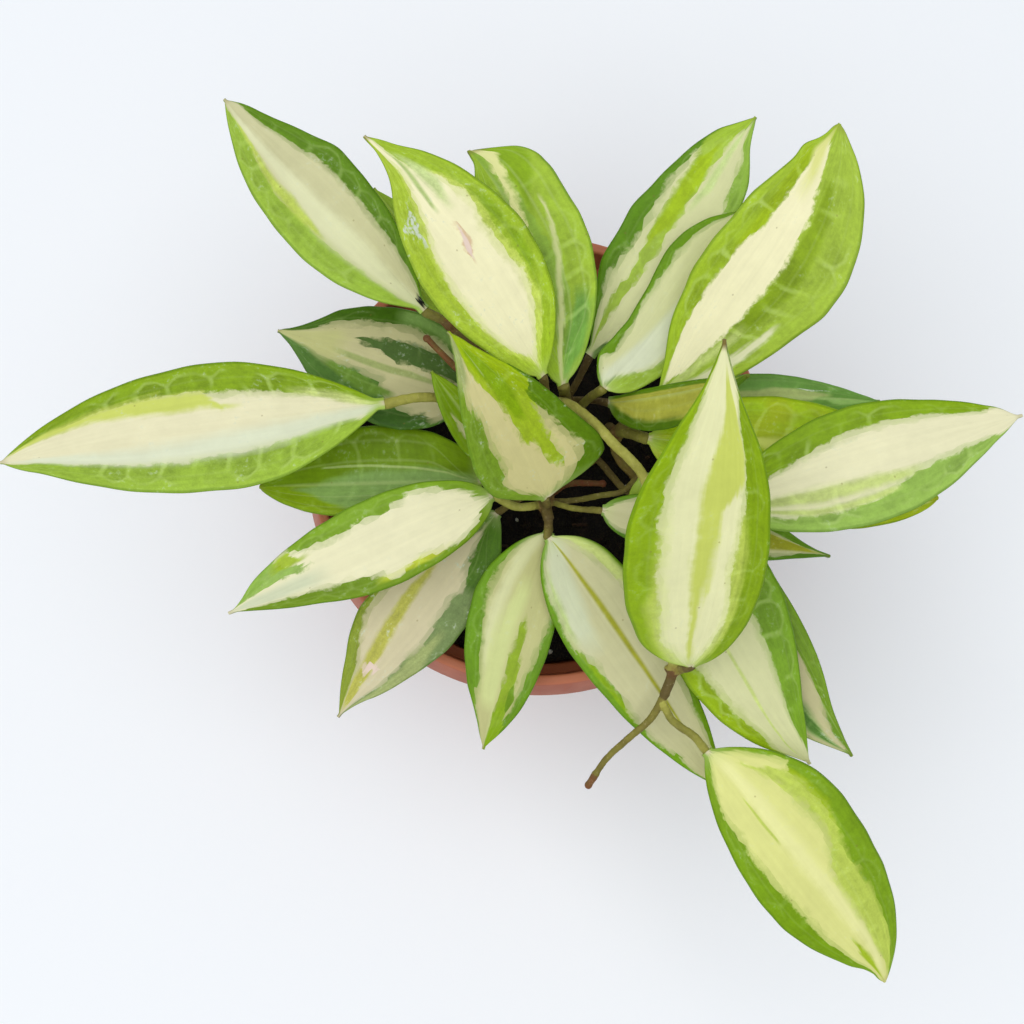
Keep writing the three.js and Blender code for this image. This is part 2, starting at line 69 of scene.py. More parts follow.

# at is the blade's base. turn is heading, pitch and roll in degrees, size is the length and the left
# and right half widths, form is where it is widest, how far that lies forwards on the left, and how
# full its base and tip are. bend is the bow to the left, the arch and the cup of its edges. margin
# is the green of its left and right side, and lift is how bright the greens are at the base, middle
# and tip, which paints light and shade along the blade. trimLeft and trimRight narrow or widen a
# side at places along it. paint lists patches in the order they are laid: a colour, its softness and
# then, at places along the blade, the patch's left and right limits. Trims and patches are in
# hundredths of the blade's length and half width.
leaves = {
    "leaf_left_long": {
        "slot": "cream_leaf", "at": (-38, 7, 130), "turn": (-171, 0, 0), "size": (93, 17, 14.5),
        "form": (0.43, -0.03, 1, 0.93), "bend": (0, 6, 2), "wave": 0.4,
        "trimLeft": [(30, 100), (70, 95), (82, 88), (90, 80), (95, 90), (100, 100)],
        "margin": ((160, 190, 72), (138, 168, 28)), "lift": (1.06, 1, 0.9), "veins": 1, "dust": 0.5,
        "ragged": 0.15,
        "paint": [
            ("cream", 5, (3, 20, 10), (6, 75, -30), (9, 45, -35), (15, 38, -45), (27, 43, -48), (40, 46, -52),
             (52, 52, -58), (70, 52, -62), (80, 50, -60), (90, 45, -62), (96, 60, -70), (100, 90, -90)),
            ("paleLime", 20, (4, -10, -30), (8, -15, -60), (13, -30, -60), (18, -46, -55)),
            ("paleCream", 30, (5, 50, 20), (10, 40, 12), (30, 42, 15), (60, 50, 25), (90, 42, 30)),
            ("limeStripe", 16, (41, -24, -26), (45, -28, -55), (55, -30, -60), (65, -36, -64), (75, -46, -66),
             (85, -50, -68), (95, -55, -68)),
        ],
    },
    "leaf_upper_left": {
        "slot": "cream_leaf", "at": (-28, 28, 138), "turn": (134, 7, 0), "size": (69, 13, 10.5),
        "form": (0.5, -0.02, 0.95, 0.95), "bend": (0, 4, 2), "wave": 0.5,
        "trimLeft": [(0, 100), (5, 112), (10, 118), (20, 113), (30, 111), (40, 107), (50, 103), (70, 105),
            (90, 100)],
        "trimRight": [(50, 103), (60, 108), (70, 93), (78, 85), (83, 79), (88, 78), (95, 95)],
        "margin": ((158, 188, 74), (102, 138, 6)), "lift": (1.08, 1, 1), "veins": 0.6, "dust": 0.35,
        "ragged": 0.12,
        "paint": [
            ("beige", 5, (0, 40, -50), (6, 58, -76), (12, 46, -74), (20, 44, -68), (30, 47, -60),
             (50, 52, -58), (62, 58, -54), (72, 56, -52), (82, 45, -48), (91, 44, -54), (95, 60, -84),
             (100, 95, -95)),
            ("softCream", 30, (3, 47, -10), (15, 43, 0), (30, 45, -4.9), (45, 48, 1.9), (60, 34, 9.6),
             (75, 29, 14.5), (90, 40, 20)),
            ("softLime", 12, (44, 50, 46), (50, 56, 42), (57, 58, 38), (63, 59, 42), (70, 57, 44),
             (80, 49, 42), (88, 48, 42)),
            # A dark patch at the base is painted shadow, for a gap that lies in shade
            ("ink", 2, (1.4, -10, -60), (2.2, 5, -80), (3.6, 5, -80), (4.4, -15, -60)),
        ],
    },
    "leaf_upper_left_hidden": {
        "slot": "green_leaf", "at": (-15, 27, 124), "turn": (128, 12, 0), "size": (43, 8, 6),
        "form": (0.42, 0, 0.55, 1), "bend": (0, 2, 1), "wave": 0.2,
        "margin": ((160, 188, 70), (150, 180, 60)), "veins": 0.5, "ragged": 0.3,
        "paint": [
            ("greenBeige", 5, (10, 10, -10), (25, 35, -30), (45, 30, -35), (60, 10, -20), (70, 0, -5)),
        ],
    },
    "leaf_top_cream": {
        "slot": "cream_leaf", "at": (0, 11, 142), "turn": (129, 19, 0), "size": (68, 12.8, 16),
        "form": (0.45, -0.03, 0.73, 1), "bend": (-1.5, 5, 2), "wave": 0.4,
        "trimLeft": [(0, 100), (10, 88), (20, 90), (30, 96), (40, 99), (50, 102), (60, 98), (70, 88),
            (76, 77), (80, 58), (85, 40), (90, 28), (95, 19), (100, 40)],
        "trimRight": [(20, 100), (40, 96), (60, 92), (85, 93), (92, 82), (100, 100)],
        "margin": ((172, 196, 66), (160, 188, 56)), "lift": (1.2, 1, 1), "dust": 0.6, "veins": 0.45,
        "ragged": 0.2, "tipBrown": 0.6,
        "paint": [
            ("softLime", 9, (4, 7.8, -20), (8, 33, -40), (14, 63, -60), (25, 68, -72), (40, 63, -66),
             (50, 60, -60), (60, 56, -74), (70, 42, -72), (76, 30, -66), (82, 13.5, -50), (86, 5, -30)),
            ("warmCream", 5, (5, 0, -5), (8, 16.4, -20), (12, 42, -35), (18, 58, -48), (25, 61, -58),
             (35, 61, -61), (45, 58, -52), (54, 55, -54), (60, 44, -66), (67, 33, -66), (75, 20, -62),
             (80, 5.7, -50), (85, -3, -34), (92, 10, -30), (100, 50, -50)),
            ("paleGreen", 20, (70, -30, -36), (75, -32, -50), (80, -30, -55), (84, -34, -50)),
            ("mistGreen", 20, (69, -5, -8), (75, -7, -15), (80, -12, -22), (86, -20, -27), (88, -24, -26)),
            ("scarEdge", 5, (47, -5, -8), (49, -2, -15), (52, -5, -22), (55, -10, -21), (58, -15, -20)),
            ("scar", 5, (48, -6, -8), (50, -5, -13), (53, -9, -17), (57, -16, -18)),
            ("chalk", 6, (61, 57, 54), (64, 65, 51), (68, 94, 46), (70, 66, 47), (72, 54, 50)),
            ("freshGreen", 12, (34, -74, -78), (38, -70, -86), (44, -72, -86), (46, -76, -80)),
            ("freshGreen", 12, (52, -74, -80), (56, -70, -86), (60, -74, -84)),
        ],
    },
    "leaf_top_green": {
        "slot": "green_leaf", "at": (5, 11, 134), "turn": (113, 14, 0), "size": (59, 8, 14),
        "form": (0.65, -0.14, 0.5, 0.72), "bend": (-4.5, 4, 2), "wave": 0.3,
        "trimLeft": [(85, 100), (90, 68), (95, 32), (100, 40)],
        "trimRight": [(10, 100), (20, 103), (30, 108), (50, 105), (60, 103), (75, 96), (85, 100), (90, 112),
            (95, 130), (100, 100)],
        "margin": ((158, 188, 62), (150, 183, 72)), "lift": (1.05, 1.04, 1), "veins": 0.9, "nerves": 0.4,
        "ragged": 0.25, "tipBrown": 0.5,
        "paint": [
            ("midGreen", 9, (30, -40, -100), (45, -42, -100), (60, -30, -100), (80, -25, -100),
             (90, -30, -100)),
            ("freshGreen", 15, (72, -29, -34), (80, -27, -57), (90, -35, -90), (100, -40, -100)),
            ("mintGreen", 20, (4, -10, -40), (10, -15, -85), (20, -30, -85), (28, -50, -80)),
            ("oldButter", 10, (2, 30, 5), (6, 20, -2), (12, 12, -6), (20, -4, -19), (30, -16, -27),
             (40, -26, -35), (50, -38, -44), (60, -49, -53), (70, -55, -57)),
            ("butter", 9, (50, 10, -6), (60, 4, -10), (70, -2, -15), (80, -7, -20), (90, -14, -33),
             (95, -20, -50), (100, -30, -80)),
        ],
    },
    "leaf_top_right_far": {
        "slot": "cream_leaf", "at": (12, 20, 126), "turn": (54, 15, 0), "size": (69, 11, 11.5),
        "form": (0.45, 0.07, 0.95, 0.72), "bend": (0, 3, 2), "wave": 0.5,
        "trimLeft": [(10, 100), (30, 118), (40, 105), (50, 108), (60, 100), (90, 100), (95, 80), (100, 60)],
        "trimRight": [(60, 100), (70, 110), (80, 112), (85, 95), (90, 70), (95, 57), (100, 50)],
        "margin": ((100, 140, 42), (142, 175, 72)), "lift": (0.95, 1.05, 1.1), "veins": 0.5, "ragged": 0.45,
        "paint": [
            ("dullCream", 5, (0, 80, -60), (6, 82, -90), (15, 82, -92), (25, 75, -100), (35, 66, -100),
             (50, 61, -100), (60, 72, -95), (65, 80, -76), (72, 82, -62), (78, 90, -59), (85, 75, -66),
             (90, 40, -49), (96, 0, -40)),
            ("midGreen", 9, (4, 56, 52), (10, 55, 34), (20, 44, 14.7), (30, 34, 7.6), (40, 36, 5.7),
             (50, 42, 5.6), (60, 48, 9), (70, 60, 12), (80, 75, 16), (86, 95, 20), (92, 100, 20),
             (100, 100, 0)),
            ("leafLime", 12, (46, 37, 28), (52, 40, 11.3), (62, 47, 14), (70, 58, 16), (78, 64, 24),
             (82, 50, 40)),
            ("paleGreen", 20, (66, 0, -3.8), (72, 2, -12.7), (80, 4, -10.7), (90, 10, -9.7)),
            ("duskGreen", 10, (0, -20, -100), (5, -30, -100), (10, -60, -100), (13, -80, -100)),
        ],
    },
    "leaf_top_right_inner": {
        "slot": "cream_leaf", "at": (15, 10, 133.5), "turn": (52, 13, 20), "size": (52, 10, 9.2),
        "form": (0.45, 0.12, 0.45, 0.87), "bend": (-1.5, 0, 0), "wave": 0.3,
        "trimLeft": [(0, 100), (10, 113), (20, 88), (30, 76), (40, 77), (50, 81), (60, 93), (70, 103),
            (80, 109), (90, 115), (100, 100)],
        "margin": ((110, 148, 40), (163, 190, 76)), "veins": 0.4, "ragged": 0.2,
        "paint": [
            ("dullCream", 5, (2, 51, 37), (5, 90, 14.1), (10, 92, -10), (15, 63, -45), (20, 68, -60),
             (25, 75, -68), (35, 85, -78), (45, 88, -80), (55, 82, -82), (65, 77, -84), (75, 75, -86),
             (90, 74, -90), (96, 62, -90)),
            ("paleCream", 30, (3, 51, 36), (7, 48, 6.9), (12, 35, -25), (18, 28, -50), (25, 18.3, -60),
             (35, 9.8, -65), (50, 0, -60), (70, -20, -60)),
        ],
    },
    "leaf_top_right_near": {
        "slot": "cream_leaf", "at": (28.5, 9, 132.8), "turn": (55, 25, 4), "size": (74, 13.8, 19),
        "form": (0.44, -0.13, 0.72, 0.62), "bend": (-3.5, 4, 2), "wave": 0.4,
        "trimLeft": [(0, 45), (10, 54), (20, 73), (30, 84), (40, 98), (50, 101), (60, 100), (70, 102),
            (80, 86), (85, 81), (90, 93), (93, 66), (96, 52), (100, 60)],
        "trimRight": [(0, 95), (10, 90), (20, 85), (35, 86), (50, 97), (70, 97), (85, 94), (94, 86), (98, 70),
            (100, 70)],
        "margin": ((164, 192, 58), (166, 192, 70)), "veins": 0.95, "dust": 0.3, "ragged": 0.2,
        "paint": [
            ("stripeGreen", 12, (16, -14, -22), (25, -16, -36), (35, -18, -44), (50, -22, -50),
             (65, -24, -50), (75, -24, -46), (82, -22, -36)),
            ("leafLime", 12, (52, 62, 50), (60, 61, 36), (70, 60, 34), (80, 71, 40), (88, 90, 48)),
            ("warmCream", 6, (5, 59, 29), (10, 67, -6), (20, 64, -14), (30, 65, -17), (40, 59, -20),
             (50, 57, -22), (57, 52, -23), (61, 40, -23), (70, 38, -21), (80, 42, -15), (87, 42, -8),
             (92, 50, 2)),
            ("limeCream", 30, (84, 30, 0), (90, 55, 5), (94, 60, 20)),
            ("streakLime", 20, (5, -5, -25), (12, -10, -30), (20, -20, -32), (28, -26, -34)),
            ("softCream", 12, (5, -35, -55), (12, -45, -75), (20, -52, -76), (30, -60, -73), (36, -65, -70)),
        ],
    },
    "leaf_right_short": {
        "slot": "green_leaf", "at": (17, 9, 122.5), "turn": (-4, 51, 0), "size": (46, 2.4, 10),
        "form": (0.43, 0, 0.53, 1), "bend": (-1, 0, 1), "wave": 0.2,
        "trimRight": [(0, 86), (100, 86)],
        "margin": ((100, 134, 14), (90, 120, 18)), "veins": 0.3, "ragged": 0.35,
        "paint": [
            ("goldLime", 20, (4, 50, -23), (10, 66, -47), (20, 60, -65), (30, 55, -70), (45, 60, -72),
             (60, 62, -79), (70, 60, -58), (80, 40, -35), (90, 10, -11.6)),
        ],
    },
    "leaf_right_behind": {
        "slot": "dusky_leaf", "at": (39, 9, 125), "turn": (0, -2, 0), "size": (44, 6.5, 6.5),
        "form": (0.38, 0, 0.55, 1), "bend": (0, 3, 1), "wave": 0.2,
        "trimLeft": [(20, 100), (30, 94), (50, 84), (70, 78), (90, 70), (100, 90)],
        "margin": ((104, 142, 70), (102, 140, 66)), "lift": (1.2, 1.2, 1.3), "veins": 0.4, "ragged": 0.3,
        "paint": [
            ("hazeLime", 20, (15, 30, 10), (30, 30, -10), (40, 42, -25), (52, 42, -25), (60, 36, -15),
             (66, 30, 10)),
            ("hazeGreen", 20, (68, -2, -10), (76, 0, -40), (86, -2, -40), (92, -10, -30)),
            ("chalk", 6, (54, 46, 44), (60, 44, 34), (65, 48, 42), (70, 50, 48)),
        ],
    },
    "leaf_upright": {
        "slot": "cream_leaf", "at": (35, -56, 130), "turn": (89, 45, 0), "size": (88, 20, 11.5),
        "form": (0.44, 0.03, 0.54, 1.2), "bend": (-2.5, 6, 3), "wave": 0.4,
        "trimLeft": [(0, 100), (10, 108), (20, 106), (50, 105), (60, 104), (70, 100), (80, 92), (90, 76),
            (95, 78), (100, 100)],
        "trimRight": [(0, 90), (10, 92), (30, 93), (40, 93), (55, 96), (65, 100), (75, 100), (80, 93),
            (90, 72), (95, 76), (100, 100)],
        "margin": ((146, 176, 40), (137, 166, 40)), "veins": 0.4, "ragged": 0.15, "tipBrown": 1,
        "paint": [
            ("softLime", 20, (2, 90, -46), (6, 82, -57), (15, 79, -64), (27, 76, -62), (32, 68, -59),
             (45, 65, -60), (52, 65, -53)),
            ("paleLime", 20, (3, 78, -36), (8, 70, -49), (16, 67, -52), (22, 64, -47)),
            ("yellowCream", 5, (3, 49, -18.2), (7, 53, -33), (12, 67, -38), (18, 62, -46), (25, 60, -45),
             (32, 63, -40), (36, 64, -31), (45, 64, -39), (55, 67, -47), (65, 70, -50), (78, 73, -52),
             (84, 77, -71), (90, 92, -111), (100, 90, -90)),
            ("limeStripe", 12, (5, 19, 17), (12, 20, 15), (25, 22, 12), (35, 26, 4.7), (45, 25, 1.9),
             (56, 24, -2), (61, 23, -30), (66, 22, -46), (72, 20, -50), (78, 8.5, -46), (84, 2.3, -50),
             (90, 0, -42)),
        ],
    },
    "leaf_right_long": {
        "slot": "cream_leaf", "at": (38, -20, 134), "turn": (16, 7, 0), "size": (77, 12.5, 15.5),
        "form": (0.52, 0, 0.95, 1.35), "bend": (0.5, 5, 2), "wave": 0.4,
        "trimRight": [(0, 100), (10, 106), (30, 105), (50, 100), (80, 100), (90, 108), (95, 135), (100, 150)],
        "trimLeft": [(50, 100), (60, 97), (70, 95), (80, 104), (90, 130), (95, 175), (100, 150)],
        "margin": ((136, 168, 30), (156, 189, 90)), "veins": 0.95, "ragged": 0.25,
        "paint": [
            ("clearCream", 5, (6, 0, -39), (15, 15, -66), (25, 32, -74), (35, 44, -71), (45, 53, -69),
             (55, 56, -62), (62, 57, -50), (72, 58, -48), (80, 60, -50), (88, 63, -62), (93, 100, -90),
             (100, 110, -110)),
            ("streakLime", 20, (18, -28, -40), (28, -25, -50), (40, -27, -52), (50, -32, -50),
             (60, -42, -48)),
            ("streakLime", 20, (20, -52, -59), (30, -59, -70), (45, -59, -67), (55, -58, -62)),
        ],
    },
    "leaf_right_green": {
        "slot": "green_leaf", "at": (26, -1, 127), "turn": (-12, 0, 1), "size": (71, 15, 15.5),
        "form": (0.49, 0, 0.62, 0.72), "bend": (1, 4, 1), "wave": 0.5,
        "margin": ((158, 188, 36), (150, 178, 38)), "lift": (1.1, 1.14, 1.1), "veins": 0.55, "ragged": 0.3,
        "sheen": "oliveLime",
        "paint": [
            ("limeStripe", 16, (33, 20, 18), (42, 30, 14), (52, 30, 20), (60, 24, 20)),
            ("limeCream", 5, (60, -55, -60), (75, -50, -70), (85, -50, -75), (95, -40, -60)),
        ],
    },
    "leaf_right_low": {
        "slot": "cream_leaf", "at": (15, -18, 123), "turn": (-9, -7, -3), "size": (57.4, 6.5, 8.5),
        "form": (0.35, 0, 0.45, 1.05), "bend": (-0.5, 5, 1), "wave": 0.3, "tipBend": -1.5,
        "trimLeft": [(70, 100), (80, 75), (87, 50), (93, 40), (100, 40)],
        "margin": ((104, 142, 44), (92, 130, 44)), "veins": 0.4, "ragged": 0.35,
        "paint": [
            ("beige", 5, (1, 30, -50), (4, 66, -86), (10, 80, -86), (30, 70, -75), (50, 55, -70),
             (70, 45, -75), (76, 35, -75), (82, 15, -72), (90, -10, -60), (97, -30, -50)),
            ("oliveLime", 20, (60, 20, 0), (70, 30, -50), (80, 10, -50), (90, -15, -45)),
        ],
    },
    "leaf_lower_right": {
        "slot": "cream_leaf", "at": (25, -9, 120), "turn": (-60, -5, -3), "size": (81, 15.5, 15.5),
        "form": (0.46, -0.09, 0.45, 1.15), "bend": (-1, 4, 1), "wave": 0.4,
        "trimRight": [(40, 100), (50, 103), (60, 107), (70, 111), (80, 119), (90, 130), (100, 120)],
        "trimLeft": [(40, 103), (50, 107), (60, 106), (75, 98), (82, 93), (90, 100), (100, 100)],
        "margin": ((128, 166, 54), (150, 178, 36)), "veins": 0.8, "ragged": 0.12,
        "paint": [
            ("dullCream", 5, (2, 39, -30), (8, 58, -50), (30, 53, -70), (50, 43, -74), (65, 42, -72),
             (75, 37, -71), (85, 30, -69), (92, 38, -95), (97, 90, -110), (100, 100, -110)),
            ("streakLime", 10, (30, -14, -18), (50, -18.4, -22), (62, -19.5, -23), (72, -21, -26),
             (80, -27, -31), (88, -34, -38), (94, -49, -54)),
        ],
    },
    "leaf_lower_right_under": {
        "slot": "dusky_leaf", "at": (33, -9, 117), "turn": (-56, -8, 0), "size": (81.8, 7, 15),
        "form": (0.52, -0.1, 0.64, 1.13), "bend": (-0.5, 4, 1), "wave": 0.5, "tipBend": -1.4,
        "trimLeft": [(60, 100), (70, 90), (75, 80), (80, 62), (85, 45), (90, 40), (100, 50)],
        "margin": ((122, 155, 52), (116, 150, 54)), "dust": 0.5, "veins": 0.5, "ragged": 0.35,
        "paint": [
            ("shadeBeige", 5, (10, 10, -40), (30, 20, -60), (50, 25, -60), (65, 30, -70), (72, 20, -90),
             (80, 6, -100), (90, -20, -100), (96, -25, -100)),
            ("hazeGreen", 20, (70, -36, -42), (78, -36, -75), (86, -42, -80), (94, -60, -80)),
            ("duskGreen", 12, (78, -42, -48), (85, -48, -70), (92, -60, -75)),
        ],
    },
    "leaf_bottom_cream": {
        "slot": "cream_leaf", "at": (2, -24, 117), "turn": (-55, -7, -2), "size": (74, 11.5, 11.5),
        "form": (0.33, 0, 0.63, 0.81), "bend": (-1, 4, 1), "wave": 0.4,
        "trimLeft": [(0, 110), (5, 125), (10, 122), (20, 110), (30, 105), (40, 100)],
        "margin": ((112, 148, 40), (118, 160, 44)), "veins": 0.4, "ragged": 0.4,
        "paint": [
            ("freshGreen", 10, (30, -78, -86), (38, -74, -84), (50, -70, -85), (58, -72, -85),
             (64, -82, -90)),
            ("paleLime", 20, (2, 92, 34), (6, 92, 48), (15, 92, 60), (25, 90, 65), (32, 85, 75)),
            ("beige", 5, (0.8, 90, -30), (3, 74, -66), (7, 66, -85), (13, 64, -90), (20, 73, -86),
             (30, 82, -88), (36, 84, -90), (38, 84, -78), (47, 83, -75), (57, 80, -76), (65, 78, -88),
             (74, 72, -90), (80, 75, -88), (83, 78, -70), (86, 80, -84), (93, 85, -90), (100, 90, -90)),
            ("greyCream", 30, (1, 44, -30), (4, 33, -60), (12, -5, -80), (22, -15, -76), (32, -30, -74)),
            ("paleGreen", 20, (14, -70, -74), (18, -66, -80), (25, -68, -78), (28, -74, -76)),
            ("oliveLime", 16, (2, 12, 7), (10, 13, 6), (25, 17, 6), (35, 19, 7), (50, 19, 8), (62, 18, 10),
             (75, 15, 11)),
        ],
    },
    "leaf_trailing": {
        "slot": "cream_leaf", "at": (39, -76, 124), "turn": (-51, -16, 0), "size": (74, 18, 13),
        "form": (0.46, -0.05, 0.74, 0.78), "bend": (0.5, 5, -1), "wave": 0.3,
        "trimLeft": [(0, 100), (10, 106), (20, 108), (30, 106), (40, 103), (60, 104), (70, 108), (80, 114),
            (90, 120), (100, 120)],
        "trimRight": [(60, 100), (70, 93), (80, 80), (87, 68), (91, 45), (95, 32), (100, 60)],
        "margin": ((130, 164, 46), (126, 161, 20)), "veins": 0.3, "ragged": 0.3,
        "paint": [
            ("leafLime", 12, (10, 66, 47), (20, 80, 51), (28, 79, 52), (36, 77, 58), (44, 68, 58)),
            ("limeCream", 5, (1.5, 50, -30), (5, 82, -56), (10, 83, -70), (15, 90, -78), (20, 93, -80),
             (23, 56, -70), (35, 56, -66), (45, 58, -64), (55, 39, -57), (62, 29, -56), (72, 26, -60),
             (82, 28, -62), (90, 35, -60), (96, 58, -70), (100, 90, -90)),
            ("softLime", 9, (12, 47, 43), (18, 72, 46), (26, 75, 51), (35, 71, 56), (45, 70, 55),
             (52, 60, 44), (58, 62, 25), (68, 63, 25), (78, 67, 27), (88, 71, 30), (95, 67, 42)),
            ("butter", 30, (8, 19.1, 4.8), (30, 13.2, 0), (50, 15.5, 1.9), (70, 20, 9.3), (90, 23, 16.7)),
            ("leafLime", 12, (82, -4, -8), (85, 3.4, -20), (90, 6.7, -22), (95, 3.3, -20)),
            ("softLime", 10, (20, -7, -8.5), (28, -6, -11), (35, -5, -8)),
        ],
    },
    "leaf_bottom_small": {
        "slot": "cream_leaf", "at": (2, -22, 113), "turn": (-107, -7, -5), "size": (56, 9, 14),
        "form": (0.47, 0.1, 0.7, 1.1), "bend": (-0.5, 4, 1), "wave": 0.4,
        "trimLeft": [(40, 100), (50, 96), (65, 91), (75, 93), (90, 100)],
        "trimRight": [(10, 95), (75, 95), (85, 85), (90, 83), (95, 95), (100, 100)],
        "margin": ((108, 146, 44), (112, 152, 44)), "veins": 0.35, "ragged": 0.45,
        "paint": [
            # The darker oldCream over its left half is painted shade; paler creams lie over most of its right
            # half
            ("oldCream", 5, (0, 60, -60), (5, 90, -80), (15, 100, -82), (30, 95, -78), (40, 84, -74),
             (46, 80, -66), (55, 70, -60), (60, 70, -64), (66, 66, -66), (70, 68, -60), (76, 70, -75),
             (82, 66, -88), (88, 30, -90), (94, -10, -92), (98, -30, -90)),
            ("dullCream", 30, (2, -30, -70), (10, -30, -75), (20, -35, -60), (35, -40, -60), (50, -42, -55),
             (62, -45, -50)),
            ("oldButter", 30, (30, -5, -20), (45, -3, -40), (60, -5, -50), (75, -5, -60), (88, -10, -70),
             (94, -20, -60)),
            ("stripeGreen", 8, (41, 14, 8), (45, 22, 2), (55, 28, 0), (64, 36, 0), (70, 50, 2), (78, 56, 2),
             (82, 40, 0)),
            ("deepGreen", 8, (70, 40, 34), (73, 52, 26), (78, 56, 30), (80, 50, 42)),
            ("freshGreen", 8, (79, 30, 20), (82, 50, 0), (86, 75, -6), (92, 90, -8), (100, 100, -10)),
            ("oldCream", 20, (84, -15, -85), (92, -20, -90), (100, -30, -100)),
        ],
    },
    "leaf_lower_left": {
        "slot": "cream_leaf", "at": (-12, -15, 126), "turn": (-156, -2, 0), "size": (69.2, 10.5, 11.5),
        "form": (0.4, 0, 0.55, 1.25), "bend": (0.5, 4, 1), "wave": 0.4,
        "trimRight": [(55, 100), (70, 111), (80, 122), (90, 145), (100, 100)],
        "trimLeft": [(60, 100), (68, 93), (78, 96), (85, 100)],
        "margin": ((118, 147, 44), (131, 166, 52)), "veins": 0.4, "ragged": 0.5,
        "paint": [
            ("lime", 14, (20, 78, 66), (26, 86, 66), (32, 84, 60), (38, 80, 66), (44, 84, 70)),
            ("clearCream", 5, (3, 30, -20), (6, 60, -50), (10, 80, -70), (15, 87, -78), (22, 84, -80),
             (27, 72, -84), (32, 70, -66), (38, 78, -62), (42, 80, -66), (46, 68, -66), (52, 62, -62),
             (60, 58, -64), (68, 54, -71), (74, 56, -100), (80, 54, -100), (86, 62, -49), (92, 70, -59),
             (100, 110, -110)),
            ("coolGreen", 6, (69.5, -25, -31), (71, -24, -45), (76, -24, -61), (81, -29, -96),
             (88, -31, -110), (93, -42, -110), (96, -68, -110)),
            ("leafLime", 12, (70, -49, -54), (73, -49, -90), (77, -56, -92)),
            ("greyCream", 30, (70, 35, -10), (85, 45, -15), (95, 60, -30)),
        ],
    },
    "leaf_lower_left_dusty": {
        "slot": "dusky_leaf", "at": (-11, -17, 111), "turn": (-128, -4, -4), "size": (64, 11.5, 12.5),
        "form": (0.53, -0.07, 0.4, 1.2), "bend": (0, 3, 1), "wave": 0.3,
        "trimLeft": [(0, 50), (10, 85), (20, 100), (55, 100), (65, 96), (85, 92), (89, 80), (93, 72),
            (100, 80)],
        "trimRight": [(60, 100), (72, 93), (80, 86), (88, 87), (100, 100)],
        "margin": ((124, 143, 90), (140, 156, 58)), "veins": 0.25, "ragged": 0.35, "dust": 0.8,
        "paint": [
            ("darkGreen", 10, (0, 100, -100), (10, 100, -100), (20, 90, -100), (28, 70, -100)),
            ("pinkBeige", 5, (8, 2, -10), (15, 16, -30), (22, 20, -50), (28, 42, -70), (32, 50, -80),
             (36, 38, -84), (50, 46, -86), (60, 55, -86), (65, 50, -80), (72, 58, -72), (80, 64, -58),
             (90, 60, -50), (100, 60, -50)),
            ("hazeLime", 20, (55, 70, 60), (64, 95, 52), (72, 120, 60), (82, 120, 68), (95, 120, 70)),
            ("goldLime", 12, (33, -34, -42), (42, -28, -50), (55, -18, -44), (62, -12, -40), (75, -5, -40),
             (85, 0, -44), (93, 6, -42)),
            ("scar", 5, (75, -2, -10), (75.8, 10, -30), (77, 20, -36), (78.2, -2, -38), (79.6, -16, -26)),
        ],
    },
    "leaf_left_green": {
        "slot": "green_leaf", "at": (-15, -9, 112), "turn": (-178, 3, 4), "size": (55, 7, 15),
        "form": (0.45, 0, 0.45, 0.65), "bend": (0.5, 2, 1), "wave": 0.3,
        "trimLeft": [(40, 100), (50, 110), (70, 130), (80, 132), (90, 130), (100, 110)],
        "margin": ((136, 164, 42), (120, 150, 22)), "veins": 0.5, "nerves": 0.3, "ragged": 0.2,
        "paint": [
            ("hazeGreen", 20, (6, 20, -20), (20, 30, -28), (40, 60, -24), (55, 90, -20), (68, 62, -10),
             (80, 23, 7.6)),
            ("mistGreen", 8, (8, -10, -12), (15, -20, -23), (30, -26, -29), (60, -30, -34), (70, -33, -36)),
        ],
    },
    "leaf_centre": {
        "slot": "green_leaf", "at": (1, -15, 124), "turn": (125, 41, 0), "size": (52, 13, 18),
        "form": (0.26, 0.09, 0.35, 1.15), "bend": (-2, 3, 2), "wave": 0.4,
        "trimLeft": [(0, 30), (5, 50), (10, 70), (20, 102), (30, 108), (40, 108), (50, 105), (70, 100),
            (80, 92), (90, 85), (100, 100)],
        "trimRight": [(0, 120), (3, 120), (7, 113), (10, 105), (20, 93), (35, 81), (50, 76), (70, 75),
            (80, 68), (90, 62), (100, 100)],
        "margin": ((130, 161, 56), (104, 138, 18)), "veins": 0.4, "ragged": 0.55, "dust": 0.6,
        "paint": [
            ("sand", 5, (2, 20, -33), (6, 52, -51), (10, 65, -65), (20, 73, -74), (26, 68, -72),
             (29, 52, -70), (45, 56, -66), (60, 62, -60), (68, 76, -40), (76, 84, 0), (82, 80, 30),
             (88, 72, 50), (93, 85, 60), (97, 80, 60)),
            ("leafLime", 9, (15, -32, -38), (17, -23, -40), (28, -19.6, -43), (33, -15.8, -45), (36, 0, -45),
             (45, 1.9, -50), (55, 4.8, -65), (65, 11.9, -90), (72, 25, -100), (80, 36, -110), (86, 46, -110),
             (95, 50, -110), (100, 50, -110)),
            ("freshGreen", 15, (50, -10, -30), (60, -2, -42), (70, 0, -46), (80, 10, -46), (88, 20, -40)),
            ("hazeLime", 20, (80, 100, 55), (86, 100, 50), (100, 100, 30)),
        ],
    },
    "leaf_back_left": {
        "slot": "dusky_leaf", "at": (-19, 13, 114), "turn": (163, 10, 4), "size": (49, 15.5, 15.5),
        "form": (0.37, 0.03, 0.45, 0.93), "bend": (0, 2, 1), "wave": 0.4,
        "trimLeft": [(70, 100), (80, 92), (88, 74), (93, 60), (100, 60)],
        "trimRight": [(60, 100), (75, 95), (82, 80), (90, 62), (95, 57), (100, 80)],
        "margin": ((92, 126, 62), (78, 110, 42)), "veins": 0.3, "ragged": 0.45, "dust": 0.4,
        "paint": [
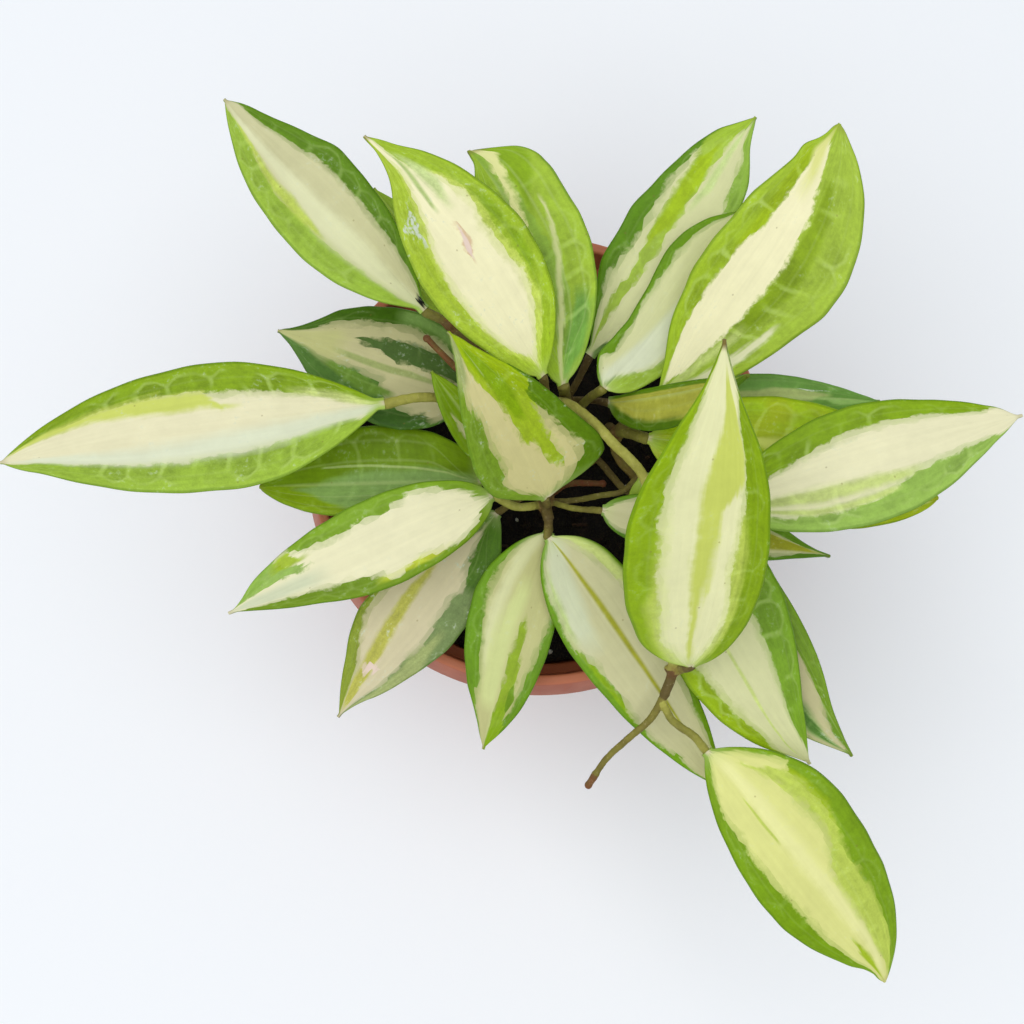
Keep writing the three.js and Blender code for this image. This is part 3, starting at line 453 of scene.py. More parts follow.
            ("shadeBeige", 5, (4, 90, -20), (10, 95, -60), (15, 92, -76), (25, 70, -74), (40, 56, -72),
             (44, 30, -72), (60, 28, -68), (70, 30, -68), (80, 28, -64), (88, 30, -55), (95, 40, -50),
             (100, 70, -70)),
            ("inkGreen", 8, (14, 90, 80), (17, 98, 70), (26, 110, 66), (36, 110, 68), (41, 95, 85)),
            ("inkGreen", 8, (4, -20, -30), (8, -14, -50), (20, -12, -50), (30, -10, -48), (40, -12, -45),
             (48, -16, -42), (55, -24, -38), (60, -32, -36)),
            ("hazeLime", 10, (15, 6, -2), (30, 8, -3), (40, 12, 0), (55, 12, 0), (70, 10, -2), (80, 10, -2),
             (92, 9, -2)),
            ("oldCream", 30, (72, 35, -45), (85, 35, -45), (100, 60, -60)),
            ("hazeGreen", 20, (10, -72, -100), (25, -78, -100), (40, -76, -100)),
            ("mossGreen", 12, (38, 50, 38), (48, 60, 34), (60, 55, 32), (70, 42, 34)),
        ],
    },
    "leaf_centre_small": {
        "slot": "green_leaf", "at": (-9, -8, 122), "turn": (129, 27, 0), "size": (31, 5.5, 4.5),
        "form": (0.41, 0, 0.55, 0.93), "bend": (0, 1, 0.5), "wave": 0.2,
        "margin": ((124, 156, 28), (132, 164, 32)), "veins": 0.3, "ragged": 0.35,
        "paint": [
            ("beige", 5, (20, 30, 10), (40, 62, 20), (52, 60, 34), (64, 50, 44)),
        ],
    },
}

print("The leaves' sizes and patterns are read")

lookOfLight = {"haze": 0.018, "gain": 1.05}  # what the studio's light adds to a leaf's own colour


def linear(red, green, blue):
    # The sRGB curve
    shares = (red / 255, green / 255, blue / 255)
    return [s / 12.92 if s < 0.04045 else ((s + 0.055) / 1.055) ** 2.4 for s in shares]


def shadeOf(red, green, blue):
    return (*linear(red, green, blue), 1)


def leafPaint(paint):
    # Colour of the palette, less what the light adds to it
    shares = linear(*(paints[paint] if isinstance(paint, str) else paint))
    return (*[max(0.004, (s - lookOfLight["haze"]) / lookOfLight["gain"]) for s in shares], 1)


class Wire:
    # A number or colour on its way through a material, so that sums can be written plainly
    def __init__(self, shade, socket):
        self.shade = shade
        self.socket = socket

    def other(self, name):
        return Wire(self.shade, self.socket.node.outputs[name])

    def maths(self, operation, first, second):
        return self.shade.add("Math", {"operation": operation}, {0: first, 1: second})

    def __add__(self, value):
        return self.maths("ADD", self, value)

    def __sub__(self, value):
        return self.maths("SUBTRACT", self, value)

    def __rsub__(self, value):
        return self.maths("SUBTRACT", value, self)

    def __mul__(self, value):
        return self.maths("MULTIPLY", self, value)

    def __truediv__(self, value):
        return self.maths("DIVIDE", self, value)

    def __abs__(self):
        return self.maths("ABSOLUTE", self, 0)

    __radd__ = __add__
    __rmul__ = __mul__

    def least(self, value):
        return self.maths("MINIMUM", self, value)

    def most(self, value):
        return self.maths("MAXIMUM", self, value)

    def rise(self, low, high):
        # Smooth step from 0 at low to 1 at high
        settings = {"interpolation_type": "SMOOTHSTEP"}
        return self.shade.add("MapRange", settings, {0: self, 1: low, 2: high, 3: 0, 4: 1})


class Shade:
    # A material that is built up from nodes
    def __init__(self, name, **fixed):
        self.material = bpy.data.materials.new(name)
        self.material.use_nodes = True
        self.tree = self.material.node_tree
        self.surface = self.tree.nodes["Principled BSDF"]
        for socket, value in fixed.items():
            self.surface.inputs[socket.replace("_", " ")].default_value = value

    def add(self, kind, settings=None, values=None, output=0):
        node = self.tree.nodes.new("ShaderNode" + kind)
        for name, value in (settings or {}).items():
            if name == "stops":
                self.setStops(node.color_ramp, value)
            else:
                setattr(node, name, value)
        for name, value in (values or {}).items():
            self.feed(node.inputs[name], value)
        return Wire(self, node.outputs[output])

    def setStops(self, ramp, stops):
        while len(ramp.elements) < len(stops):
            ramp.elements.new(0.5)
        for element, (place, colour) in zip(ramp.elements, stops):
            element.position = place
            element.color = colour

    def feed(self, socket, value):
        if isinstance(value, Wire):
            self.tree.links.new(value.socket, socket)
        else:
            socket.default_value = value

    def mix(self, share, first, second):
        # Sockets 6 and 7 of the node, and its output 2, are its colours
        return self.add("Mix", {"data_type": "RGBA"}, {0: share, 6: first, 7: second}, output=2)

    def scaled(self, colour, factor):
        colour = colour if isinstance(colour, Wire) else colour[:3]
        return self.add("VectorMath", {"operation": "SCALE"}, {0: colour, "Scale": factor})

    def place(self):
        return self.add("TexCoord", output="Object")

    def joined(self, x, y, z=0):
        return self.add("CombineXYZ", values={0: x, 1: y, 2: z})

    def parts(self, vector):
        # The vector's X, with Y and Z as its other outputs
        return self.add("SeparateXYZ", values={0: vector})

    def facing(self, low, high):
        # Smooth step by how far the surface faces upwards
        return self.parts(self.add("NewGeometry", output="Normal")).other("Z").rise(low, high)

    def noise(self, place, scale, detail, roughness):
        values = {"Vector": place, "Scale": scale, "Detail": detail, "Roughness": roughness}
        return self.add("TexNoise", values=values)

    def finish(self, colour, roughness, height, depth, strength):
        self.feed(self.surface.inputs["Base Color"], colour)
        self.feed(self.surface.inputs["Roughness"], roughness)
        bump = self.add("Bump", values={"Strength": strength, "Distance": depth, "Height": height})
        self.feed(self.surface.inputs["Normal"], bump)
        return self.material


def packed(across):
    # A place across the blade, from -1.5 to 1.5, as a colour's value from 0 to 1
    return (across + 1.5) / 3


def patch(shade, along, across, softness, stations, spread=1, layered=False):
    # Share of a patch whose left and right limits follow the blade, and which fades out past its
    # ends. A layered patch thins out along its limits.
    fade = 0.012 + softness * 0.3
    stops = [(place, (packed(left), packed(right), 1, 1)) for place, left, right in stations]
    if stops[0][0] > 0:
        stops.insert(0, (max(0, stops[0][0] - fade), (*stops[0][1][:2], 0, 1)))
    if stops[-1][0] < 1:
        stops.append((min(1, stops[-1][0] + fade), (*stops[-1][1][:2], 0, 1)))
    limits = shade.add("ValToRGB", {"stops": stops}, {"Fac": along})
    left = shade.add("SeparateColor", values={0: limits})
    right = left.other("Green")
    inside = (left - across).least(across - right)
    reach = spread * (softness / 3)
    share = inside.rise(reach * -0.5, ((left - right) * 0.4).least(reach * 0.5).most(0.0005))
    if layered:
        share = share * 0.65 + inside.rise(0.015, reach * 2.4 + 0.015) * 0.35
    return share * left.other("Blue")


def leafShade(name, leaf, seed):
    shade = Shade(name, Specular_IOR_Level=leafLook["shine"])
    long, leftHalf, rightHalf = leaf["size"]
    breadth = (leftHalf + rightHalf) / 2
    flat = shade.add("UVMap", {"uv_map": "blade"})
    u = shade.parts(flat)
    along = u.other("Y")
    across = u * 2 - 1
    outwards = abs(across)
    isLeft = across.rise(-0.01, 0.01)

    # Places that grow with the blade: broad clouds, fibres along it and small cells
    wide = shade.joined(along * (long / 10) + seed, across * (breadth / 10), seed)
    fibre = shade.joined(along * (long / 22), across * (breadth / 1.3), seed)
    cellLong, cellWide = leafLook["patchCell"] * 1.2, leafLook["patchCell"] * 0.5
    small = shade.joined(along * (long / cellLong) + seed, across * (breadth / cellWide))
    cloud = shade.noise(wide, 1, 3, 0.5)
    streak = shade.noise(fibre, 1, 3, 0.55)
    grain = shade.noise(wide, 9, 3, 0.6)
    mottle = shade.noise(wide, 3.2, 4, 0.62)
    cloudShift, streakShift, grainShift, mottleShift = cloud - 0.5, streak - 0.5, grain - 0.5, mottle - 0.5
    cells = shade.add("TexVoronoi", {"voronoi_dimensions": "2D", "feature": "F1"},
                      {"Vector": small, "Scale": 1, "Randomness": 0.9})
    cell = shade.parts(cells.other("Position"))

    # One row of rounded cells lies along each margin, with pale veins between them
    row = along * (long / leafLook["veinCell"]) - outwards * 0.35 + isLeft * 3.4 + cloudShift * 0.7 + seed
    between = shade.add("TexVoronoi", {"voronoi_dimensions": "1D", "feature": "DISTANCE_TO_EDGE"},
                        {"W": row, "Scale": 1, "Randomness": 0.7})
    rim = leafLook["rim"] + between.rise(0, 0.4) * 0.1 + cloudShift * 0.08
    within = (rim - outwards).rise(0, 0.05)
    crossVein = (1 - between.rise(0, 0.12)) * outwards.rise(0.15, 0.45) * (rim - outwards).rise(-0.02, 0.02)
    rimVein = 1 - abs(rim - outwards).rise(0, 0.05)
    clear = cloud.rise(0.38, 0.6) * along.rise(0.04, 0.12) * (1 - along.rise(0.75, 0.9) * 0.7)
    vein = crossVein.most(rimVein * 0.7) * clear
    fill = within * between.rise(0.03, 0.12) * clear

    # Limits of the patches are partly stepped along the cells and partly drawn out in fibres
    ragged = leaf["ragged"]
    softAlong = along + streakShift * (0.02 + 0.06 * ragged)
    stepAlong = softAlong + ((cell - seed) * (cellLong / long) - along) * (0.1 + ragged * 0.8)
    stepAcross = across + (cell.other("Y") * (cellWide / breadth) - across) * (0.2 + ragged)
    stepped = packed(stepAcross + cloudShift * 0.1 + mottleShift * 0.14 + grainShift * 0.07)
    soft = packed(across + cloudShift * 0.1 + streakShift * 0.12 + mottleShift * 0.1)
    straight = packed(across + cloudShift * 0.03 + streakShift * 0.03)

    # Green margins, in which the cells are darker than the veins and the rim
    leftGreen, rightGreen = leaf["margin"]
    green = shade.mix(isLeft, leafPaint(rightGreen), leafPaint(leftGreen))
    if "sheen" in leaf:
        green = shade.mix(cloud.rise(0.4, 0.7) * 0.5, green, leafPaint(leaf["sheen"]))
    dust = leaf.get("dust", 0.2)
    base, middle, tip = leaf.get("lift", (1, 1, 1))
    speckleShift = shade.noise(wide, 26, 2, 0.6) - 0.5
    tone = 1.04 - fill * (leafLook["cellDark"] * leaf["veins"])
    tone = tone + streakShift * 0.4 + cloudShift * 0.3 + mottleShift * 0.5
    tone = tone + grainShift * (0.25 + 0.4 * dust) + speckleShift * (0.1 + 0.5 * dust)
    # Painted light and shade: the greens are brighter or darker towards the base, middle and tip
    tone = tone * (along.rise(0, 0.5) * (middle - base) + along.rise(0.5, 1) * (tip - middle) + base)
    green = shade.scaled(green, tone)
    colour = shade.mix(vein * (leafLook["veinPale"] * leaf["veins"]), green, leafPaint("paleGreen"))

    # Patches, which blend more softly near the base
    blend = 1 + 1.5 * (1 - along.rise(0.03, 0.14))
    greenness = 1
    shadowGap = 0
    for paint, softness, *stations in leaf["paint"]:
        softness /= 100
        stations = [[value / 100 for value in station] for station in stations]
        # Narrow patches have plain limits, soft ones wavy limits, and the others stepped ones
        if max(left - right for _, left, right in stations) < 0.13:
            share = patch(shade, along, straight, softness * 0.5, stations)
        elif softness >= 0.1:
            share = patch(shade, softAlong, soft, softness, stations, blend)
        else:
            share = patch(shade, stepAlong, stepped, softness, stations, blend, 0.04 < softness < 0.06)
        # The dark patch is painted shadow, laid over the pale base at the end
        if paint == "ink":
            shadowGap = share
            continue
        if paint == "chalk":
            share = share * grain.rise(0.35, 0.6)
        isGreen = "Green" in paint or "Lime" in paint or paint == "lime"
        tint = leafPaint(paint)
        if isGreen:
            pale = vein * (leafLook["cellDark"] * leaf["veins"])
            tint = shade.mix(pale, shade.scaled(tint, tone), leafPaint("paleGreen"))
            share = share * leafLook["greenOver"]
        else:
            fade = 1 + streakShift * 0.14 + cloudShift * 0.16 + mottleShift * 0.14 - along * 0.03
            tint = shade.scaled(tint, fade)
            greenness = (1 - share) * greenness
        colour = shade.mix(share, colour, tint)

    # Midrib and long nerves, which start together at the base
    spread = along.rise(-0.02, 0.25)
    innerNerves = 1 - abs(outwards - spread * leafLook["innerNerve"]).rise(0, 0.5 / breadth)
    outerNerves = 1 - abs(outwards - spread * leafLook["outerNerve"]).rise(0, 0.5 / breadth)
    midrib = (1 - outwards.rise(0, 0.9 / breadth)) * (1 - along.rise(0.8, 1))
    nerve = innerNerves.most(outerNerves * 0.7) * leaf.get("nerves", 0.15)
    colour = shade.mix(((nerve * 0.6).most(midrib * 0.35)) * greenness, colour, leafPaint("paleGreen"))

    # Pale base, a painted shadow, thin dark rim, brown tip, dusty bloom, brown spots and a pale underside
    colour = shade.mix((1 - along.rise(0, 0.07)) * (0.4 - outwards * 0.2), colour, leafPaint("paleGreen"))
    heel = (1 - along.rise(0, 0.022)) * (1 - outwards.rise(0.2, 0.6)) * 0.6
    colour = shade.mix(heel, colour, leafPaint("scar"))
    colour = shade.mix(shadowGap, colour, leafPaint("ink"))
    colour = shade.mix(outwards.rise(0.95, 0.99) * 0.4, colour, leafPaint("darkGreen"))
    colour = shade.mix(along.rise(0.97, 0.992) * leaf.get("tipBrown", 0.25), colour, leafPaint("brownTip"))
    speck = grain.rise(0.5, 0.72) * mottle.rise(0.48, 0.62) * cloud.rise(0.44, 0.6) * dust
    colour = shade.mix(speck, colour, leafPaint("chalk"))
    spots = shade.add("TexVoronoi", {"voronoi_dimensions": "2D"},
                      {"Vector": wide, "Scale": 0.55, "Randomness": 1})
    colour = shade.mix((1 - spots.rise(0.007, 0.018)) * 0.4, colour, leafPaint("brownTip"))
    under = shade.facing(0.02, -0.15)
    colour = shade.mix(under * 0.4, colour, leafPaint("paleGreen"))

    roughness = leafLook["roughness"] + cloud * 0.14 + speck * 0.4 + under * 0.15
    height = fill * greenness * (0.3 * leaf["veins"]) - midrib * 0.15 - nerve * 0.5
    height = height + cloud * 0.9 + streak * 0.25 + grain * 0.06
    return shade.finish(colour, roughness, height, depth=0.0006, strength=0.3)


def follow(table, along):
    # Value at a place along, from a table of places and values
    if along <= table[0][0]:
        return table[0][1]
    for (start, first), (end, last) in zip(table, table[1:]):
        if along <= end:
            return first + (last - first) * (along - start) / (end - start)
    return table[-1][1]


def outline(along, widest, fullness, point):
    # Half width of a blade's side as a share of its widest
    if along < widest:
        return (1 - (1 - along / widest) ** 2) ** fullness
    return max(0, 1 - ((along - widest) / (1 - widest)) ** 2) ** point


def bladePoint(leaf, along, across):
    long, left, right = leaf["size"]
    widest, skew, fullness, point = leaf["form"]
    bow, arch, cup = leaf["bend"]
    side = (across > 0) - (across < 0)
    share = outline(along, widest + side * skew, fullness, point)
    trim = leaf.get("trimLeft" if across > 0 else "trimRight", [(0, 100)])
    share *= follow(trim, along * 100) / 100
    ripple = math.sin(21 * along + side + leaf["at"][1]) + math.sin(47 * along + 2 * side)
    share *= 1 + leafLook["uneven"] * ripple
    least = leafLook["baseHalf"] + along * (leafLook["tipHalf"] - leafLook["baseHalf"])
    half = max((left if across > 0 else right) * share, least)
    hump = 4 * along * (1 - along)
    phase = leaf["at"][0] * 0.7 + (2.1 if across > 0 else 0)
    wave = leaf["wave"] * math.sin(leafLook["waves"] * along + phase) * hump * across ** 2
    tip = max(0, along - leafLook["tipFrom"]) / (1 - leafLook["tipFrom"])
    return Vector((
        long * along,
        half * across + bow * hump + leaf.get("tipBend", 0) * tip * tip,
        arch * hump + cup * share * across ** 2 + wave,
    ))


def bladeFrame(leaf):
    heading, pitch, roll = [math.radians(angle) for angle in leaf["turn"]]
    turn = Euler((roll, -pitch, heading), "XYZ").to_matrix().to_4x4()
    return Matrix.Translation(Vector(leaf["at"])) @ turn


def toMesh(name, shell):
    mesh = bpy.data.meshes.new(name)
    shell.to_mesh(mesh)
    shell.free()
    return mesh


def addPiece(name, mesh, node, material, smooth=True):
    piece = bpy.data.objects.new(name, mesh)
    bpy.context.scene.collection.objects.link(piece)
    mesh.materials.clear()
    mesh.materials.append(material)
    mesh.polygons.foreach_set("use_smooth", [smooth] * len(mesh.polygons))
    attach(piece, "root")
    if node:
        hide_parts(node)
    return piece


def makeLeaf(name, leaf, seed):
    # Flat grid, bent into the blade, then given its thickness. Its rows lie closer at the ends.
    shell = bmesh.new()
    uv = shell.loops.layers.uv.new("blade")
    weights = shell.verts.layers.deform.new()
    bmesh.ops.create_grid(shell, x_segments=leafLook["lengthCells"], y_segments=leafLook["widthCells"],
                          size=0.5)
    places = {}
    for vert in shell.verts:
        along = (1 - math.cos(math.pi * (vert.co.x + 0.5))) / 2
        across = math.copysign(abs(2 * vert.co.y) ** 1.15, vert.co.y)
        places[vert] = (along, max(-1, min(1, across)))
    for face in shell.faces:
        for loop in face.loops:
            along, across = places[loop.vert]
            loop[uv].uv = ((across + 1) / 2, along)
    stand = bladeFrame(leaf)
    breadth = max(leaf["size"][1:])
    for vert, (along, across) in places.items():
        point = bladePoint(leaf, along, across)
        ridge = math.exp(-(abs(across) * breadth / leafLook["grooveHalf"]) ** 2) * (1 - along)
        point.z -= leafLook["groove"] * ridge
        vert.co = stand @ point * mm
        vert[weights][0] = leafLook["thinEdge"] + (1 - leafLook["thinEdge"]) * (1 - across ** 2) ** 0.7
    mesh = toMesh(name + "_blade", shell)
    piece = addPiece(name + "_blade", mesh, name, leafShade(name + "_skin", leaf, seed))
    piece.vertex_groups.new(name="thick")
    thick = piece.modifiers.new("thickness", "SOLIDIFY")
    thick.thickness = leafLook["thickness"] * mm
    thick.offset = 0
    thick.vertex_group = "thick"
    rounding = piece.modifiers.new("rounding", "SUBSURF")
    rounding.levels = 1
    rounding.render_levels = 1


# Each stem's path starts in the soil. A knob sits at each joint, a stalk runs from a joint to its
# leaf, with its tint and its radius, and a twig is a bare spur or root, with how red it is and its
# radius. Tints run from 0, brown, to 1, pale olive. slim is how much a stem thins, and oldEnd is how
# many samples at its end are brown.
stemLook = {
    "stem": 1.6, "slim": 0.15, "knob": 1.75, "buds": 5, "budOut": 0.85, "budRadius": (0.5, 0.9),
    "soilTop": 87.5, "depth": 10, "straight": 14, "voxel": 0.3, "lumps": 0.08, "sample": 1.2,
    "oldTint": 0.15, "knobRed": 0.65,
}
stems = {
    "stem_centre": {
        "slot": "woody_stem", "tint": 0.2,
        "path": [(2, -11, 88), (2, -11, 102), (1, -14.3, 113), (2, -19, 115)],
        "knobs": [(1.8, -14, 113), (0.5, -15, 113)],
        "stalks": {
            "leaf_lower_left": [0.85, 1.1, (0.5, -15, 113), (-6, -16.3, 118)],
            "leaf_centre": [0.3, 1, (0.5, -14.5, 114), (1.5, -16, 119)],
            "leaf_right_low": [0.5, 0.8, (1.5, -14, 113), (8, -16.5, 117)],
            "leaf_bottom_cream": [0.4, 1.05, (2, -19, 115)],
            "leaf_bottom_small": [0.35, 0.95, (2, -17.5, 114)],
            "leaf_lower_left_dusty": [0.3, 0.9, (2, -11, 101), (-4, -12, 107)],
            "leaf_lower_right": [0.42, 0.8, (1.5, -14, 112), (8, -13.6, 111), (16, -12, 110),
                (20, -11.5, 111)],
        },
        "twigs": [
            [0.9, 0.9, (2, -11, 100), (7, -7.2, 98), (16.5, -6.8, 97)],
        ],
    },
    "stem_upper_left": {
        "slot": "woody_stem", "tint": 0.2,
        "path": [(-6, 16, 88), (-6, 15, 106), (-7, 15, 122), (-15, 21, 132), (-22, 25, 136)],
        "knobs": [(-6.5, 15, 120), (-22, 25, 136)],
        "stalks": {
            "leaf_upper_left": [0.45, 1.15, (-22, 25, 136), (-25, 26.5, 137)],
            "leaf_upper_left_hidden": [0.3, 0.9, (-6.5, 15, 119), (-10, 20, 122)],
        },
    },
    "stem_left": {
        "slot": "green_stem", "tint": 0.5,
        "path": [(-8, 4, 88), (-8, 3, 102), (-9, 2, 112), (-15, 6, 123), (-25, 9, 128)],
        "knobs": [(-8.5, 2.5, 108)],
        "stalks": {
            "leaf_left_long": [0.75, 1.25, (-25, 9, 128), (-31, 8.5, 129.5)],
            "leaf_left_green": [0.4, 1, (-8.5, 2.5, 106), (-10, -5, 110)],
            "leaf_back_left": [0.4, 1, (-8.5, 2.5, 107), (-13, 8, 111)],
            "leaf_centre_small": [0.4, 0.9, (-8.5, 2.5, 109), (-6, -6, 115)],
        },
        "twigs": [
            [0.75, 0.9, (-10, 3, 113), (-13, 10, 121), (-22, 18, 126), (-28, 24, 127)],
        ],
    },
    "stem_top": {
        "slot": "green_stem", "tint": 0.3,
        "path": [(10, 11, 88), (10, 10, 101), (7.5, 11, 112)],
        "knobs": [(6.5, 12, 112), (9, 9, 112)],
        "stalks": {
            "leaf_top_green": [0.45, 1.45, (6.5, 12, 112)],
            "leaf_top_right_far": [0.1, 0.95, (6.5, 12, 112), (9, 15, 118)],
            "leaf_top_right_inner": [0.5, 1.15, (9, 9, 112), (12, 10, 123.5)],
            "leaf_right_short": [0.1, 0.95, (8, 12, 112), (13, 11, 116)],
        },
    },
    "stem_right": {
        "slot": "woody_stem", "tint": 0.2,
        "path": [(19, 9, 88), (18, 7, 101), (19, 3.2, 115)],
        "knobs": [(19, 3.2, 115)],
        "stalks": {
            "leaf_top_right_near": [0.45, 1.4, (19, 3.2, 115), (22.5, 5, 124)],
            "leaf_right_green": [0.6, 1.4, (19, 3.2, 115), (22, 1.5, 121)],
            "leaf_right_behind": [0.4, 0.9, (20, 3, 115), (29, 7, 118)],
        },
        "twigs": [
            [0.35, 1.1, (20, 3, 115), (18.8, 0.3, 109), (20.5, -3, 107), (24, -6, 104)],
        ],
    },
    "stem_lower_right": {
        "slot": "woody_stem", "tint": 0.3, "slim": 0.45,
        "path": [(14, 1, 88), (14, 1, 95), (15.5, -1, 98), (19, -7, 105), (21.5, -11, 109)],
        "knobs": [(14, 1, 91)],
        "stalks": {
            "leaf_lower_right_under": [0.35, 0.95, (21.5, -11, 109), (27, -10, 113)],
        },
    },
    "stem_trailing": {
        "slot": "green_stem", "tint": 0.85, "slim": 0.26, "oldEnd": 7,
        "path": [(-1, 7, 88), (-1, 7, 104), (2, 9, 120), (6.5, 7.4, 128), (13, 1.6, 131), (17, -3.1, 132),
                 (21, -7.3, 133), (24.6, -12.4, 133), (27, -32, 137), (29, -48, 134), (31, -57, 127),
                 (29, -63, 125)],
        "knobs": [(31, -57, 127)],
        "stalks": {
            "leaf_top_cream": [0.25, 1.05, (-1, 7, 112), (1.5, 6, 130)],
            "leaf_right_long": [0.7, 1.1, (24.6, -12.7, 133), (30, -19, 133.5)],
            "leaf_upright": [0.15, 1.4, (31, -57, 127)],
            "leaf_trailing": [0.62, 1, (28.8, -65, 125), (30.9, -68.8, 125), (36, -72.5, 125)],
        },
        "twigs": [
            [0.12, 0.88, (29, -63, 125), (25.9, -68.3, 123.5), (20.8, -72.8, 122), (15.4, -77.8, 119),
             (13.1, -81.2, 117.2)],
            [0.8, 0.9, (12.8, -81.7, 117), (11.3, -84, 116)],
        ],
    },
}


def smoothPath(points, step):
    # Even points on a centripetal Catmull-Rom curve through the given points
    points = [Vector(point) for point in points]
    points = [points[0] * 2 - points[1], *points, points[-1] * 2 - points[-2]]
    result = []
    for before, start, end, after in zip(points, points[1:], points[2:], points[3:]):
        pairs = ((before, start), (start, end), (end, after))
        gaps = [max((b - a).length, 1e-4) ** 0.5 for a, b in pairs]
        first = (start - before) / gaps[0] - (end - before) / (gaps[0] + gaps[1]) + (end - start) / gaps[1]
        last = (end - start) / gaps[1] - (after - start) / (gaps[1] + gaps[2]) + (after - end) / gaps[2]
        first, last = first * gaps[1], last * gaps[1]
        count = max(2, round((end - start).length / step))
        for i in range(count):
            t = i / count
            result.append(start + first * t + (3 * (end - start) - 2 * first - last) * t * t
                          + (2 * (start - end) + first + last) * t ** 3)
    return [*result, points[-2]]


def newTubes():
    curve = bpy.data.curves.new("tubes", "CURVE")
    curve.dimensions = "3D"
    curve.bevel_depth = 1
    curve.bevel_resolution = 3
    curve.use_fill_caps = True
    return curve


def addTube(curve, points, radii):
    line = curve.splines.new("POLY")
    line.points.add(len(points) - 1)
    for spot, point, radius in zip(line.points, points, radii):
        spot.co = (*point, 1)
        spot.radius = radius


def solidMesh(item):
    # The object's mesh with its modifiers applied, after which the object goes
    bpy.context.scene.collection.objects.link(item)
    mesh = bpy.data.meshes.new_from_object(item.evaluated_get(bpy.context.evaluated_depsgraph_get()))
    bpy.data.objects.remove(item)
    return mesh


def addBall(shell, centre, radius, squash=1):
    place = Matrix.Translation(Vector(centre)) @ Matrix.Diagonal((1, 1, squash, 1))
    bmesh.ops.create_icosphere(shell, subdivisions=2, radius=radius, matrix=place)


stemPaint = {
    "tints": [(0, shadeOf(84, 66, 38)), (0.3, shadeOf(112, 98, 50)), (0.55, shadeOf(132, 128, 54)),
              (0.8, shadeOf(168, 164, 74)), (1, shadeOf(190, 188, 96))],
    "red": shadeOf(138, 80, 50), "redDeep": shadeOf(100, 58, 36),
    "fleck": shadeOf(198, 182, 132), "shadow": shadeOf(84, 70, 36),
}


def stemShade(name):
    shade = Shade(name, Specular_IOR_Level=0.18)
    place = shade.place()
    tint = shade.add("Attribute", {"attribute_name": "tint"}, output="Fac")
    red = shade.add("Attribute", {"attribute_name": "red"}, output="Fac")
    broad = shade.noise(place, 170, 3, 0.5)
    fine = shade.noise(place, 1000, 3, 0.6)
    lumps = shade.noise(place, 450, 2, 0.7)
    tint = tint + (broad - 0.5) * 0.5 + (lumps - 0.5) * 0.15
    colour = shade.add("ValToRGB", {"stops": stemPaint["tints"]}, {"Fac": tint})
    redness = (red * (0.6 + lumps.rise(0.35, 0.6) * 0.5)).least(1)
    colour = shade.mix(redness, colour, shade.mix(broad, stemPaint["redDeep"], stemPaint["red"]))
    colour = shade.mix(fine.rise(0.58, 0.72) * 0.26, colour, stemPaint["fleck"])
    # Painted shade: the stems are darker where they face downwards
    under = shade.facing(0.2, -0.7)
    colour = shade.mix(under * 0.4, colour, stemPaint["shadow"])
    colour = shade.scaled(colour, 0.6 + lumps * 0.4 + fine * 0.2)
    height = lumps * 0.6 + fine * 0.4
    return shade.finish(colour, 0.48 + fine * 0.2, height, depth=0.0004, strength=0.5)


# The next three functions draw tubes and return samples: a point, its tint and how red it is
def growStem(stem, tubes):
    x, y, _ = stem["path"][0]
    root = stemLook["soilTop"] - stemLook["depth"]
    straight = [(x, y, root + stemLook["straight"] * share) for share in (0, 0.5, 1)]
    points = smoothPath(straight + stem["path"][1:], stemLook["sample"])
    count = len(points)
    slim = stem.get("slim", stemLook["slim"])
    addTube(tubes, points, [stemLook["stem"] * (1.06 - slim * min(1, 3 * i / count)) for i in range(count)])
    fresh = count - stem.get("oldEnd", 0)
    return [(point, stem["tint"] if i < fresh else stemLook["oldTint"], 0) for i, point in enumerate(points)]


def growStalk(stem, leaf, tint, wide, start, tubes):
    # The stalk thickens towards the blade and thins out under its midrib
    stand = bladeFrame(leaf)
    end = stand @ Vector((-0.6, 0, -0.7))
    under = []
    for along in (0.03, 0.08, 0.14, 0.22):
        drop = 0.7 + leafLook["groove"] + 0.4 * (0.22 - along) / 0.22
        under.append(stand @ (bladePoint(leaf, along, 0) - Vector((0, 0, drop))))
    points = smoothPath([*start, end], stemLook["sample"])
    last = len(points) - 1
    radii = [wide + 0.15 * max(0, 1 - (last - i) * stemLook["sample"] / 5) for i in range(last + 1)]
    tail = smoothPath([end, *under], 2.5)[1:]
    radii += [wide + 0.15 - (wide - 0.4) * ((i + 1) / len(tail)) ** 0.6 for i in range(len(tail))]
    addTube(tubes, points + tail, radii)
    shares = [min(1, i * stemLook["sample"] / 4) for i in range(len(radii))]
    tints = [stem["tint"] * (1 - share) + tint * share for share in shares]
    return [(point, shown, 0) for point, shown in zip(points + tail, tints)]


def growTwig(redness, wide, path, tubes, shell):
    points = smoothPath(path, stemLook["sample"])
    addTube(tubes, points, [wide * (1.15 - 0.25 * i / len(points)) for i in range(len(points))])
    addBall(shell, points[-1], wide * 1.2, 0.9)
    return [(point, 0.55 - 0.25 * redness, redness) for point in points]


